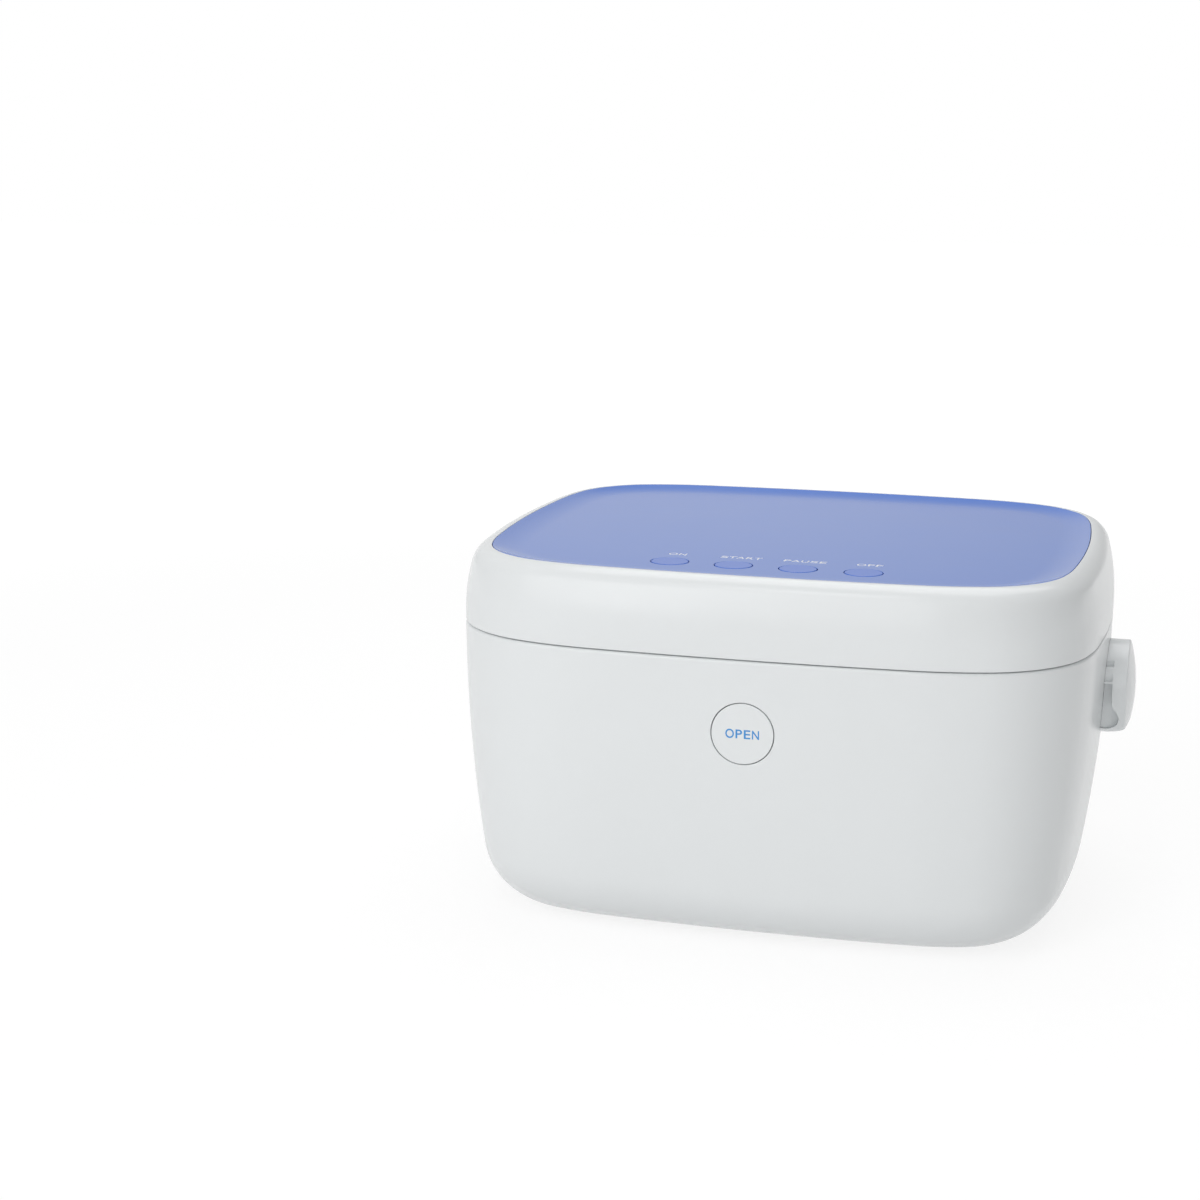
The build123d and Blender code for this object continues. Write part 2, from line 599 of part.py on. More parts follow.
LEVER_T = 2.0
NOSE_Z = 137.3
lever_front = LATCH_Y - LEVER_T / 2
latch_lever = block(-7.0, 7.0, lever_front, lever_front + LEVER_T, LATCH_PIVOT_Z + 5.5, 142.0)
latch_lever += block(-3.5, 3.5, lever_front, lever_front + LEVER_T, LATCH_PIVOT_Z, LATCH_PIVOT_Z + 6)
latch_lever += rod_x(LATCH_Y, LATCH_PIVOT_Z, -3.5, 3.5, 3.2)
latch_lever -= rod_x(LATCH_Y, LATCH_PIVOT_Z, -12.0, 12.0, PIN_HOLE + RUNNING_GAP)
nose_points = [(lever_front + 0.5, NOSE_Z), (-131.8, NOSE_Z), (-131.8, NOSE_Z + 1.3), (lever_front + 0.5, NOSE_Z + 4.3)]
nose = extrude(Plane.YZ * make_face(Polyline(*nose_points, close=True)), 4.5, both=True)
latch_lever += nose
save("latch_lever", latch_lever)

SPRING_WIRE = 0.35
spring_coil = Pos(4.0, LATCH_Y, LATCH_PIVOT_Z) * Rot(0, 90, 0) * coil_spring(2.6, SPRING_WIRE, 1.0, 3.0)
save("latch_spring", spring_coil)

# Lid sensor under the deck
SENSOR_X, SENSOR_Y = -40.0, -128.0
lid_sensor = block(SENSOR_X - 7, SENSOR_X + 7, SENSOR_Y - 2.5, SENSOR_Y + 2.5, deck_low - 3.5, deck_low)
save("lid_sensor", lid_sensor)

# Hinges: the base carries two knuckles each, the lid carries the one between them
hinge_base, hinge_lid = [], []
hinge_pins, screws_base, screws_lid = [], [], []
for s in (-1, 1):
    cx = s * HINGE_X
    plate = block(cx - 18, cx + 18, HINGE_PLATE_Y - 1.6, HINGE_PLATE_Y, 118.0, 144.8)
    for x0, x1 in ((cx - 18, cx - 9), (cx + 9, cx + 18)):
        plate += block(x0, x1, HINGE_PLATE_Y - 1.6, HINGE_Y, 142.9, 144.8)
        plate += rod_x(HINGE_Y, SEAM_Z, x0, x1, KNUCKLE_R)
        plate -= rod_x(HINGE_Y, SEAM_Z, x0 - 1, x1 + 1, PIN_R)
    leaf = block(cx - 16, cx + 16, 114.0, 133.4, FLANGE_TOP, FLANGE_TOP + 1.8)
    leaf += block(cx - 8, cx + 8, 130.0, HINGE_Y, FLANGE_TOP, FLANGE_TOP + 1.8)
    leaf += rod_x(HINGE_Y, SEAM_Z, cx - 8.6, cx + 8.6, KNUCKLE_R)
    leaf -= rod_x(HINGE_Y, SEAM_Z, cx - 10, cx + 10, PIN_R + RUNNING_GAP)
    for t in (-1, 1):
        plate -= rod_y(cx + t * HINGE_SCREW_X, HINGE_SCREW_Z, 125.0, 140.0, 1.6)
        seat = Pos(cx + t * HINGE_SCREW_X, HINGE_PLATE_Y - 1.6, HINGE_SCREW_Z)
        screws_base.append(seat * Rot(90, 0, 0) * screw(length=3.9))
        leaf -= post(cx + t * HINGE_SCREW_X, 119.0, 145.0, 155.0, SCREW_FIT)
        seat = Pos(cx + t * HINGE_SCREW_X, 119.0, FLANGE_TOP + 1.8)
        screws_lid.append(seat * screw(length=1.8 + LINER_T))
    hinge_base.append(plate)
    hinge_lid.append(leaf)
    hinge_pins.append(rod_x(HINGE_Y, SEAM_Z, cx - 18.4, cx + 18.4, PIN_R))
save("hinge_brackets_base", *hinge_base)
save("hinge_brackets_lid", *hinge_lid)
save("hinge_pins", *hinge_pins)
save("hinge_screws_base", *screws_base)
save("hinge_screws_lid", *screws_lid)

# Lid casing: side wall, shoulder, crest and the ledge that carries the panel
PANEL_SEAT_Z = 180.0
LID_POST_INSET = 7.0
LID_POST_TOP = 170.5
lid_lip = wall_inset(LID_LOW)
ledge_low = PANEL_SEAT_Z - 2.4
inner_shoulder = SHOULDER_R - WALL
shoulder_angle = math.degrees(math.asin((ledge_low - SHOULDER_CENTRE[1]) / inner_shoulder))
lid_shell = ring(
    joined(
        arc_run((lid_lip + EDGE_R, LID_LOW + EDGE_R), EDGE_R, -90, 0),
        lower_run(0, LID_LOW + EDGE_R, WIDEST_Z),
        arc_run(UPPER_CENTRE, UPPER_R, 0, UPPER_ANGLE),
        arc_run(SHOULDER_CENTRE, SHOULDER_R, UPPER_ANGLE, SHOULDER_END),
        ((CREST[0], PANEL_SEAT_Z),),
        ((21.0, PANEL_SEAT_Z),),
        ((21.0, ledge_low),),
        arc_run(SHOULDER_CENTRE, inner_shoulder, shoulder_angle, UPPER_ANGLE),
        arc_run(UPPER_CENTRE, UPPER_R - WALL, UPPER_ANGLE, 0),
        lower_run(WALL, WIDEST_Z, LID_LOW),
    )
)
for x, y in rim_spots(*RIM_SPOTS, LID_POST_INSET):
    lid_shell += post(x, y, FLANGE_TOP, LID_POST_TOP, 4.5)
for x, y in rim_spots(*RIM_SPOTS, LID_POST_INSET):
    lid_shell -= post(x, y, 140.0, 163.0, SCREW_FIT)
for s in (-1, 1):
    lid_shell -= block(s * HINGE_X - 18.6, s * HINGE_X + 18.6, 128.0, 146.0, 145.0, 153.2)
save("lid_shell", lid_shell)
lid_seats = rim_spots(*RIM_SPOTS, LID_POST_INSET)
save("lid_screws", *[Pos(x, y, FLANGE_Z) * Rot(180, 0, 0) * screw(head_h=1.2) for x, y in lid_seats])

# Lid liner: flange, raised pan, catch slot and hinge notches
PAN_R = 8.0
pan_centre = (PAN_INSET + PAN_R, PAN_UNDER - PAN_R)
lid_liner = ring(
    joined(
        ((3.2, FLANGE_Z),),
        ((PAN_INSET, FLANGE_Z),),
        arc_run(pan_centre, PAN_R, 0, 90),
        arc_run(pan_centre, PAN_R + LINER_T, 90, 0),
        ((PAN_INSET - LINER_T, FLANGE_TOP),),
        ((3.2, FLANGE_TOP),),
    )
)
lid_liner += slab(pan_centre[0], PAN_UNDER, PAN_TOP)
CATCH_Y0, CATCH_Y1 = -131.0, -129.0
CATCH_HALF = 9.0
CATCH_SCREW = (12.5, -120.3)
lid_liner -= block(-CATCH_HALF - 0.6, CATCH_HALF + 0.6, CATCH_Y0 - 0.5, CATCH_Y1 + 0.5, 140.0, 155.0)
for x, y in LED_SPOTS:
    lid_liner -= post(x, y, 160.0, 170.0, 8.8)
for x, y in lid_seats:
    lid_liner -= post(x, y, 140.0, 155.0, 1.6)
for s in (-1, 1):
    lid_liner -= block(s * HINGE_X - 18.6, s * HINGE_X + 18.6, 133.4, 146.0, 145.0, 155.0)
    lid_liner -= post(s * CATCH_SCREW[0], CATCH_SCREW[1], 145.0, 155.0, 1.25)
    for t in (-1, 1):
        lid_liner -= post(s * HINGE_X + t * HINGE_SCREW_X, 119.0, 145.0, 155.0, SCREW_FIT)
save("lid_liner", lid_liner)

# Soft seal under the flange
lid_gasket = ring(joined(arc_run((16.0, FLANGE_Z), 1.45, -180, 0)))
save("lid_gasket", lid_gasket)

# Catch that hangs through the deck, with a window for the latch nose
lid_catch = block(-CATCH_HALF, CATCH_HALF, CATCH_Y0, CATCH_Y1, 133.0, FLANGE_TOP + 1.4)
lid_catch += block(-16.0, 16.0, CATCH_Y0, -117.5, FLANGE_TOP, FLANGE_TOP + 1.4)
lid_catch -= block(-5.5, 5.5, -135.0, -125.0, 137.0, 142.5)
for s in (-1, 1):
    lid_catch -= post(s * CATCH_SCREW[0], CATCH_SCREW[1], 145.0, 155.0, 1.25)
save("lid_catch", lid_catch)
catch_screw = screw(head_r=2.4, head_h=1.2, shank_r=1.2, length=1.4 + LINER_T)
save("catch_screws", *[Pos(s * CATCH_SCREW[0], CATCH_SCREW[1], FLANGE_TOP + 1.4) * catch_screw for s in (-1, 1)])
save("lid_magnet", post(SENSOR_X, SENSOR_Y, FLANGE_TOP, FLANGE_TOP + 2.5, 3.0))

# Dished top panel with four button holes and posts for the control board
panel_in = CREST[0] + PANEL_GAP
panel_z = CREST[1] - DISH_DEPTH
dish_run = math.sqrt(DISH_R**2 - (DISH_R - DISH_DEPTH) ** 2)
dish_angle = math.degrees(math.asin(dish_run / DISH_R))
PANEL_PLATE_INSET = 40.0
CONTROL_POSTS = [(x, BUTTON_Y + y) for x in (-68.0, 68.0) for y in (-9.0, 9.0)]
CONTROL_Z = 171.4
button_xs = [(i - 1.5) * BUTTON_PITCH for i in range(4)]
dish_centre = (panel_in + dish_run, panel_z + DISH_R)
lid_panel = ring(
    joined(
        arc_run(dish_centre, DISH_R, dish_angle - 90, -90),
        ((PANEL_PLATE_INSET, panel_z),),
        ((PANEL_PLATE_INSET, PANEL_SEAT_Z),),
        ((panel_in, PANEL_SEAT_Z),),
    )
)
lid_panel += slab(PANEL_PLATE_INSET, PANEL_SEAT_Z, panel_z)
for x, y in CONTROL_POSTS:
    lid_panel += post(x, y, CONTROL_Z + 1.6, PANEL_SEAT_Z + 0.5, 3.0)
    lid_panel -= post(x, y, CONTROL_Z, CONTROL_Z + 6.5, 1.25)
for x in button_xs:
    lid_panel -= post(x, BUTTON_Y, 170.0, 190.0, BUTTON_R + BUTTON_GAP)
save("lid_panel", lid_panel)

# Control board and switches
control_board = Pos(0, BUTTON_Y, CONTROL_Z) * extrude(RectangleRounded(150.0, 28.0, 2.0), 1.6)
for x, y in CONTROL_POSTS:
    control_board -= post(x, y, 165.0, 180.0, 1.5)
save("control_board", control_board)
control_screw = Rot(180, 0, 0) * screw(head_r=2.3, head_h=1.2, shank_r=1.2, length=6.0)
save("control_board_screws", *[Pos(x, y, CONTROL_Z) * control_screw for x, y in CONTROL_POSTS])
switch_low = CONTROL_Z + 1.6
switch = block(-3.1, 3.1, -3.1, 3.1, switch_low, switch_low + 2.4) + post(0, 0, switch_low + 2.4, switch_low + 3.0, 1.7)
save("tact_switches", *[Pos(x, BUTTON_Y, 0) * switch for x in button_xs])


# Top buttons: a flush cap, a retaining flange and a plunger over its switch
def top_button(x):
    cap = post(0, 0, panel_z - 4.0, panel_z + 0.1, BUTTON_R)
    cap = fillet(cap.edges().filter_by(GeomType.CIRCLE).group_by(Axis.Z)[-1], 0.35)
    cap += post(0, 0, panel_z - 4.0, PANEL_SEAT_Z - 0.35, 11.2)
    cap += post(0, 0, switch_low + 3.0 + BUTTON_TRAVEL + 0.25, panel_z - 3.9, 2.2)
    return Pos(x, BUTTON_Y, 0) * cap


for name, x in zip(("on_button", "start_button", "pause_button", "off_button"), button_xs):
    save(name, top_button(x))

# Lead from the hinge side of the lid to its light board
lid_route = [
    (-12.0, 124.0, FLANGE_TOP + 2.2),
    (-12.0, 118.5, 158.0),
    (-12.0, 111.0, 168.5),
    (-12.0, 92.0, 172.4),
    (-12.0, 56.1, 172.4),
]
lid_socket = block(-17.0, -7.0, 46.0, 56.0, lid_board_z + BOARD_SIZE[2], lid_board_z + BOARD_SIZE[2] + 6.0)
save("lid_harness", lead(lid_route, 1.6), lid_socket)


# Strap studs: a domed round cap with a slot and a pocket in front and behind for a strap's clip
def strap_stud():
    """Right-hand stud. It is flat on top, and below it is rounded and runs down to the wall."""
    u0 = WIDTH / 2
    rim = STUD_REACH - STUD_DOME_R + math.sqrt(STUD_DOME_R**2 - STUD_R**2)
    half = [Line((-4.0, 0), (-4.0, STUD_R)), Line((-4.0, STUD_R), (rim - 0.8, STUD_R))]
    half += [ThreePointArc((rim - 0.8, STUD_R), (rim - 0.25, STUD_R - 0.25), (rim + 0.05, STUD_R - 0.8))]
    dome_mid = STUD_REACH - STUD_DOME_R + math.sqrt(STUD_DOME_R**2 - 12.0**2)
    half += [ThreePointArc((rim + 0.05, STUD_R - 0.8), (dome_mid, 12.0), (STUD_REACH, 0))]
    half += [Line((STUD_REACH, 0), (-4.0, 0))]
    cap = revolve(make_face(half), Axis.X, 360)
    lower = [(-4.0, 26.0), (16.0, 26.0), (16.0, -7.0), (13.9, -7.0)]
    side = [Line(a, b) for a, b in zip(lower, lower[1:])]
    side += [ThreePointArc((13.9, -7.0), (12.9, -13.2), (9.9, -18.6))]
    side += [ThreePointArc((9.9, -18.6), (7.5, -20.3), (4.4, -21.5))]
    side += [Line((4.4, -21.5), (-4.0, -24.1)), Line((-4.0, -24.1), (-4.0, 26.0))]
    front = extrude(Plane.XZ * make_face(side), 30.0, both=True)
    stud = cap & front
    for s in (-1, 1):
        stud -= block(-5.0, 3.2, s * STUD_WEB, s * 30.0, 13.8, 16.6)
        stud -= block(-5.0, 3.0, s * 21.0, s * 30.0, 7.0, 14.0)
        ramp = Polyline((s * 30.0, 6.2), (s * 19.5, 6.2), (s * 12.0, -21.0), (s * 30.0, -21.0), close=True)
        opening = block(-5.0, 3.2, s * 5.0, s * 30.0, -12.0, 6.2) + rod_y(0.0, -12.5, s * 5.0, s * 30.0, 6.9)
        stud -= opening & extrude(Plane.YZ * make_face(ramp), 10.0, both=True)
    stud -= rod_x(0, 0, -6.0, 8.5, 1.55)
    stud = Pos(u0, 0, STUD_Z) * stud
    return stud - skin_block(0.08, 60.0, 146.0)


right_stud = strap_stud()
save("strap_stud_right", right_stud)
save("strap_stud_left", mirror(right_stud, Plane.YZ))
stud_seat = WIDTH / 2 - wall_inset(STUD_Z, WALL) - 0.2
stud_screw = Pos(stud_seat, 0, STUD_Z) * Rot(0, -90, 0) * screw(head_r=3.2, head_h=1.6, shank_r=1.5, length=11.0)
save("stud_screws", stud_screw, mirror(stud_screw, Plane.YZ))

print("latch ratio, rad per m", round(1000 / (OPEN_Z - LATCH_PIVOT_Z), 4))
print("hinge line", 0, HINGE_Y - HINGE_PROUD / 2, SEAM_Z)
print("panel height", round(panel_z, 3), "crest", [round(c, 3) for c in CREST])
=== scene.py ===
# %% [markdown]
# # A sanitizing box for masks and hoses
# The CAD model already holds every part of this box in its true size and place. This
# lesson dresses it: it frames the box as the photograph does, lights it softly, gives
# each part its finish, and rebuilds the parts whose surface needs finer meshes.

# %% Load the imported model
import json
import math

import bmesh
import bpy
import numpy as np
from mathutils import Matrix, Vector


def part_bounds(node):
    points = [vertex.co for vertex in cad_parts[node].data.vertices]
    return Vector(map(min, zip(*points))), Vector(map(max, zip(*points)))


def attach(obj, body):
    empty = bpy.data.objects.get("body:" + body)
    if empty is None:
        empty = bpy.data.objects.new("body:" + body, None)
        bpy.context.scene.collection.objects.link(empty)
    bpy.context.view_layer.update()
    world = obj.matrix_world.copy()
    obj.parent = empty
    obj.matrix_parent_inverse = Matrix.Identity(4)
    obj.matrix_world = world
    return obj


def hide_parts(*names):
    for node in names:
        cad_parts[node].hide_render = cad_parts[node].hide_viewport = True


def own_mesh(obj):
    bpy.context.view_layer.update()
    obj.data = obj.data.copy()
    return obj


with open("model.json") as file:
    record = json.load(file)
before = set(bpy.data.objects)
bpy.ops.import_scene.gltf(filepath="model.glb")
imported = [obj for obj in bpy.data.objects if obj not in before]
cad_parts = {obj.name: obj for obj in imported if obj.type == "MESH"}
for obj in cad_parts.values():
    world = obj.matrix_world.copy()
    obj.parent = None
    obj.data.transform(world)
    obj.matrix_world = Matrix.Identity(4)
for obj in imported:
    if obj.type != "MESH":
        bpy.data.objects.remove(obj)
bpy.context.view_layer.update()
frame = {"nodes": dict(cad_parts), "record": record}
MM = 0.001
NODES = frame["nodes"]
print("parts in the model:", len(NODES))

# %% [markdown]
# ## The camera
# The photograph looks at the front from a little above and a little to the right, with
# a fairly long lens. Its outline fixes the camera: the turn round the box, the height, the
# distance, a slight roll, the lens, and the pixel on which one point of the box lands.
# That pixel isn't the middle of the picture, so the lens is swung away from the point.


# %% Place the camera
def new_object(name, data):
    """An object in the scene, made from its data."""
    thing = bpy.data.objects.new(name, data)
    bpy.context.collection.objects.link(thing)
    return thing


PHOTO_SIDE = 1200.0
TURN, RISE, ROLL = (math.radians(a) for a in (10.15035, 14.71631, 1.61054))
AIM = np.array([0.0, -2.75, 90.0]) * MM
AIM_PIXEL = (795.4055, 707.0948)
DISTANCE = 1210.676 * MM
FOCAL_PIXELS = 2286.322
SENSOR = 36.0


def unit(vector):
    """The same direction, 1 long."""
    return vector / np.linalg.norm(vector)


backwards = np.array([math.sin(TURN) * math.cos(RISE), -math.cos(TURN) * math.cos(RISE), math.sin(RISE)])
level = unit(np.cross(-backwards, [0, 0, 1]))
upright = np.cross(level, -backwards)
right = math.cos(ROLL) * level + math.sin(ROLL) * upright
up = -math.sin(ROLL) * level + math.cos(ROLL) * upright
towards_aim = unit(
    np.array([
        (AIM_PIXEL[0] - PHOTO_SIDE / 2) / FOCAL_PIXELS,
        -(AIM_PIXEL[1] - PHOTO_SIDE / 2) / FOCAL_PIXELS,
        1.0,
    ])
)
axis = np.cross([0, 0, 1], towards_aim)
skew = np.array([[0, -axis[2], axis[1]], [axis[2], 0, -axis[0]], [-axis[1], axis[0], 0]])
swing = np.eye(3) + skew + skew @ skew / (1 + towards_aim[2])
view = np.column_stack([right, up, -backwards]) @ swing.T
place = np.eye(4)
place[:3, :3] = np.column_stack([view[:, 0], view[:, 1], -view[:, 2]])
place[:3, 3] = AIM + backwards * DISTANCE
camera_data = bpy.data.cameras.new("camera")
camera_data.sensor_fit = "HORIZONTAL"
camera_data.sensor_width = SENSOR
camera_data.lens = FOCAL_PIXELS * SENSOR / PHOTO_SIDE
camera_data.clip_end = 20.0
camera = new_object("camera", camera_data)
camera.matrix_world = Matrix(place.tolist())
bpy.context.scene.camera = camera
print("lens", round(camera_data.lens, 2), "mm")

# %% [markdown]
# ## Writing a finish
# A material is a small network of nodes. Written out node by node it hides the sums
# behind it, so one class stands for a number that flows through the network, and Python's
# own signs add the maths nodes. A second class holds the material, with one method that
# adds any other node.


# %% Helpers for materials
class Flow:
    """A number, colour or vector that comes out of a node."""

    def __init__(self, finish, socket):
        self.finish, self.socket = finish, socket

    def maths(self, operation, other, swapped=False):
        """A Math node on this flow and another flow or a number."""
        pair = (other, self) if swapped else (self, other)
        return self.finish.add("ShaderNodeMath", dict(enumerate(pair)), operation=operation)

    def __add__(self, other):
        return self.maths("ADD", other)

    __radd__ = __add__

    def __sub__(self, other):
        return self.maths("SUBTRACT", other)

    def __rsub__(self, other):
        return self.maths("SUBTRACT", other, swapped=True)

    def __mul__(self, other):
        return self.maths("MULTIPLY", other)


class Finish:
    """A material under construction."""

    LAST_NODE = "ShaderNodeOutputMaterial"

    def __init__(self, name):
        self.material = bpy.data.materials.new(name)
        self.material.use_nodes = True
        self.tree = self.material.node_tree
        self.tree.nodes.clear()

    def add(self, kind, inputs=None, output=0, **settings):
        """One node with its sockets' values or links, and its settings, as a flow."""
        node = self.tree.nodes.new(kind)
        for key, value in settings.items():
            setattr(node, key, value)
        for key, value in (inputs or {}).items():
            if isinstance(value, Flow):
                self.tree.links.new(value.socket, node.inputs[key])
            else:
                node.inputs[key].default_value = value
        return Flow(self, node.outputs[output])

    def place(self, scale=(1, 1, 1)):
        """Object coordinates, stretched where a grain runs one way."""
        spot = self.add("ShaderNodeTexCoord", output=3)
        if scale == (1, 1, 1):
            return spot
        return self.add("ShaderNodeMapping", {0: spot, 3: scale})

    def noise(self, scale, detail=2.0, stretch=(1, 1, 1)):
        """Noise from 0 to 1 over the piece."""
        spot = self.place(stretch)
        return self.add("ShaderNodeTexNoise", {"Vector": spot, "Scale": scale, "Detail": detail})

    def tint(self, factor, first, second):
        """Blend of two colours."""
        colours = {0: factor, 6: (*first, 1.0), 7: (*second, 1.0)}
        return self.add("ShaderNodeMix", colours, output=2, data_type="RGBA")

    def eased(self, value, start, end, low, high):
        """From low to high in a smooth step, while a value goes from start to end."""
        span = {0: value, 1: start, 2: end, 3: low, 4: high}
        return self.add("ShaderNodeMapRange", span, interpolation_type="SMOOTHSTEP")

    def bump(self, height, distance):
        """Normal of a surface with small heights, in metres."""
        return self.add("ShaderNodeBump", {"Height": height, "Distance": distance})

    def surface(self, **inputs):
        """The finished material. A socket's name is written with _ for each space."""
        names = {key.replace("_", " "): value for key, value in inputs.items()}
        shader = self.add("ShaderNodeBsdfPrincipled", names)
        self.close(shader)
        return self.material

    def close(self, shader):
        """Link a shader to the output."""
        output = self.tree.nodes.new(self.LAST_NODE)
        self.tree.links.new(shader.socket, output.inputs["Surface"])


def shade(colour, factor):
    """A colour made lighter or darker."""
    return tuple(min(1.0, c * factor) for c in colour)


def rgb(red, green, blue):
    """A colour written as the eye sees it, 0 to 255, in the linear values that nodes use."""
    parts = (red / 255, green / 255, blue / 255)
    return tuple(p / 12.92 if p <= 0.04045 else ((p + 0.055) / 1.055) ** 2.4 for p in parts)


print("middle grey, as nodes hold it:", [round(part, 3) for part in rgb(128, 128, 128)])

# %% [markdown]
# ## Floor, background and light
# The box stands on a plain pale floor in front of a white background. The camera and
# glass see that white, and glossy surfaces see a room a little darker than white, darker
# still towards the right. The light that falls on the box is a soft grey world, stronger
# from the front and from below, with three broad lamps on the left, in front and above. A
# small lamp high in front puts a soft sheen on the lid's shoulder.


# %% Floor, and the rays that see it
def seen_by_eye(network):
    """Two flows: 1 for rays from the camera or through glass, and 1 for rays off a gloss."""
    path = network.tree.nodes.new("ShaderNodeLightPath")
    rays = ("Camera", "Transmission", "Glossy")
    eye, glass, gloss = (Flow(network, path.outputs[f"Is {ray} Ray"]) for ray in rays)
    return eye + glass, gloss


FLOOR_HALF, FLOOR_GLOW = 6.0, 0.84
FADE_START, FADE_END, FADE_GLOW = 0.7, 2.2, 0.2  # metres from the box, and the glow added there
FLOOR_LIT, FLOOR_SEEN = (0.93, 0.93, 0.93), (0.2, 0.2, 0.2)
backdrop = Finish("floor_finish")
direct, glossy = seen_by_eye(backdrop)
seen = direct + glossy
matt = backdrop.add("ShaderNodeBsdfDiffuse", {"Color": backdrop.tint(seen, FLOOR_LIT, FLOOR_SEEN)})
away = backdrop.add("ShaderNodeVectorMath", {0: backdrop.place()}, output=1, operation="LENGTH")
fade = backdrop.eased(away, FADE_START, FADE_END, 0.0, FADE_GLOW)
glow = backdrop.add("ShaderNodeEmission", {"Strength": seen * (fade + FLOOR_GLOW)})
backdrop.close(backdrop.add("ShaderNodeAddShader", {0: matt, 1: glow}))
floor_mesh = bpy.data.meshes.new("floor")
corners = [(x * FLOOR_HALF, y * FLOOR_HALF, 0.0) for x, y in ((-1, -1), (1, -1), (1, 1), (-1, 1))]
floor_mesh.from_pydata(corners, [], [(0, 1, 2, 3)])
floor_mesh.materials.append(backdrop.material)
floor = new_object("floor", floor_mesh)
print("floor", 2 * FLOOR_HALF, "m across")


# %% World
class Sky(Finish):
    """The world's network, with the same helpers as a material."""

    LAST_NODE = "ShaderNodeOutputWorld"

    def __init__(self, world):
        world.use_nodes = True
        self.tree = world.node_tree
        self.tree.nodes.clear()


WORLD_LIGHT, WORLD_TILT = 0.42, (-0.12, -0.5, -0.28)
ROOM_LEFT, ROOM_RIGHT, ROOM_START, ROOM_END = 0.8, 0.5, -0.22, 0.16
world = bpy.data.worlds.new("world")
sky = Sky(world)
direct, glossy = seen_by_eye(sky)
heading = sky.add("ShaderNodeTexCoord")
tilt = sky.add("ShaderNodeVectorMath", {0: heading, 1: WORLD_TILT}, output=1, operation="DOT_PRODUCT")
across = sky.add("ShaderNodeSeparateXYZ", {0: heading})
room = sky.eased(across, ROOM_START, ROOM_END, ROOM_LEFT, ROOM_RIGHT)
unseen = 1.0 - direct - glossy
strength = direct + glossy * room + unseen * (tilt + 1.0) * WORLD_LIGHT
sky.close(sky.add("ShaderNodeBackground", {"Color": (1.0, 1.0, 1.0, 1.0), "Strength": strength}))
bpy.context.scene.world = world
print("world light", WORLD_LIGHT)


# %% Lamps
def lamp(name, spot, target, size, power):
    """Square soft lamp at a spot, turned to a target. Its size is in metres, its power in watts."""
    data = bpy.data.lights.new(name, "AREA")
    data.size = size
    data.energy = power
    thing = new_object(name, data)
    thing.location = spot
    thing.rotation_euler = (Vector(target) - Vector(spot)).to_track_quat("-Z", "Y").to_euler()


BOX_MIDDLE, BOX_SHOULDER = (0, 0, 0.1), (0, 0, 0.15)
BROAD, SMALL = 1.6, 0.5
lamp("left", (-1.2, -1.9, 1.1), BOX_MIDDLE, BROAD, 9.9)
lamp("front", (-0.3, -2.2, 1.1), BOX_MIDDLE, BROAD, 9.3)
lamp("top", (0.1, 0.6, 1.75), BOX_MIDDLE, BROAD, 14.0)
lamp("high", (-0.25, -1.3, 1.9), BOX_SHOULDER, SMALL, 2.7)
bpy.context.scene.view_settings.view_transform = "Standard"

# %% [markdown]
# ## Finishes
# The real box is glossy injection-moulded plastic: nearly smooth, with a faint ripple
# that softens the reflections. Inside are brushed aluminium, bright steel wire, rubber
# and circuit boards.


# %% Finishes for plastic and rubber
def moulded(name, colour, gloss, ripple=6e-6, mirror=0.5):
    """Moulded plastic: a faint ripple, and slow changes of colour and gloss."""
    finish = Finish(name)
    slow = finish.noise(14.0)
    fine = finish.noise(700.0, 3.0)
    return finish.surface(
        Base_Color=finish.tint(slow, shade(colour, 0.985), shade(colour, 1.01)),
        Roughness=gloss + (finish.noise(45.0) - 0.5) * 0.05,
        Normal=finish.bump(fine, ripple),
        Specular_IOR_Level=mirror,
    )


def rubber(name, colour):
    """Matt rubber with a fine pebble."""
    finish = Finish(name)
    pebble = finish.noise(1600.0, 2.0)
    return finish.surface(
        Base_Color=finish.tint(pebble, shade(colour, 0.85), shade(colour, 1.15)),
        Roughness=0.62 + pebble * 0.2,
        Normal=finish.bump(pebble, 3e-5),
    )


# %% Finishes for metal, boards and quartz
def brushed(name, colour, gloss, stretch=(1, 40, 40), scale=90.0):
    """Metal with fine lines along one axis."""
    finish = Finish(name)
    lines = finish.noise(scale, 4.0, stretch)
    return finish.surface(
        Base_Color=finish.tint(lines, shade(colour, 0.88), shade(colour, 1.08)),
        Metallic=1.0,
        Roughness=gloss + (lines - 0.5) * 0.16,
        Normal=finish.bump(lines, 8e-6),
    )


def plated(name, colour, gloss):
    """Plated or polished metal with slight clouding."""
    finish = Finish(name)
    cloud = finish.noise(120.0, 3.0)
    return finish.surface(
        Base_Color=finish.tint(cloud, shade(colour, 0.92), shade(colour, 1.05)),
        Metallic=1.0,
        Roughness=gloss + (cloud - 0.5) * 0.12,
    )


def board(name, colour):
    """Solder mask over copper tracks: faint lines under a satin coat."""
    finish = Finish(name)
    tracks = finish.add("ShaderNodeTexBrick", {"Vector": finish.place(), "Scale": 160.0}, offset=0.35)
    lines = finish.add("ShaderNodeRGBToBW", {0: tracks}) * 0.6
    grain = finish.noise(300.0)
    return finish.surface(
        Base_Color=finish.tint(lines, shade(colour, 0.8), shade(colour, 1.2)),
        Roughness=0.34 + grain * 0.12,
        Normal=finish.bump(grain, 1e-5),
    )


def clear(name, colour):
    """Clear quartz with a light haze."""
    finish = Finish(name)
    haze = finish.noise(90.0)
    return finish.surface(
        Base_Color=(*colour, 1.0),
        Roughness=0.03 + haze * 0.04,
        IOR=1.46,
        Transmission_Weight=1.0,
        Alpha=0.55,
    )


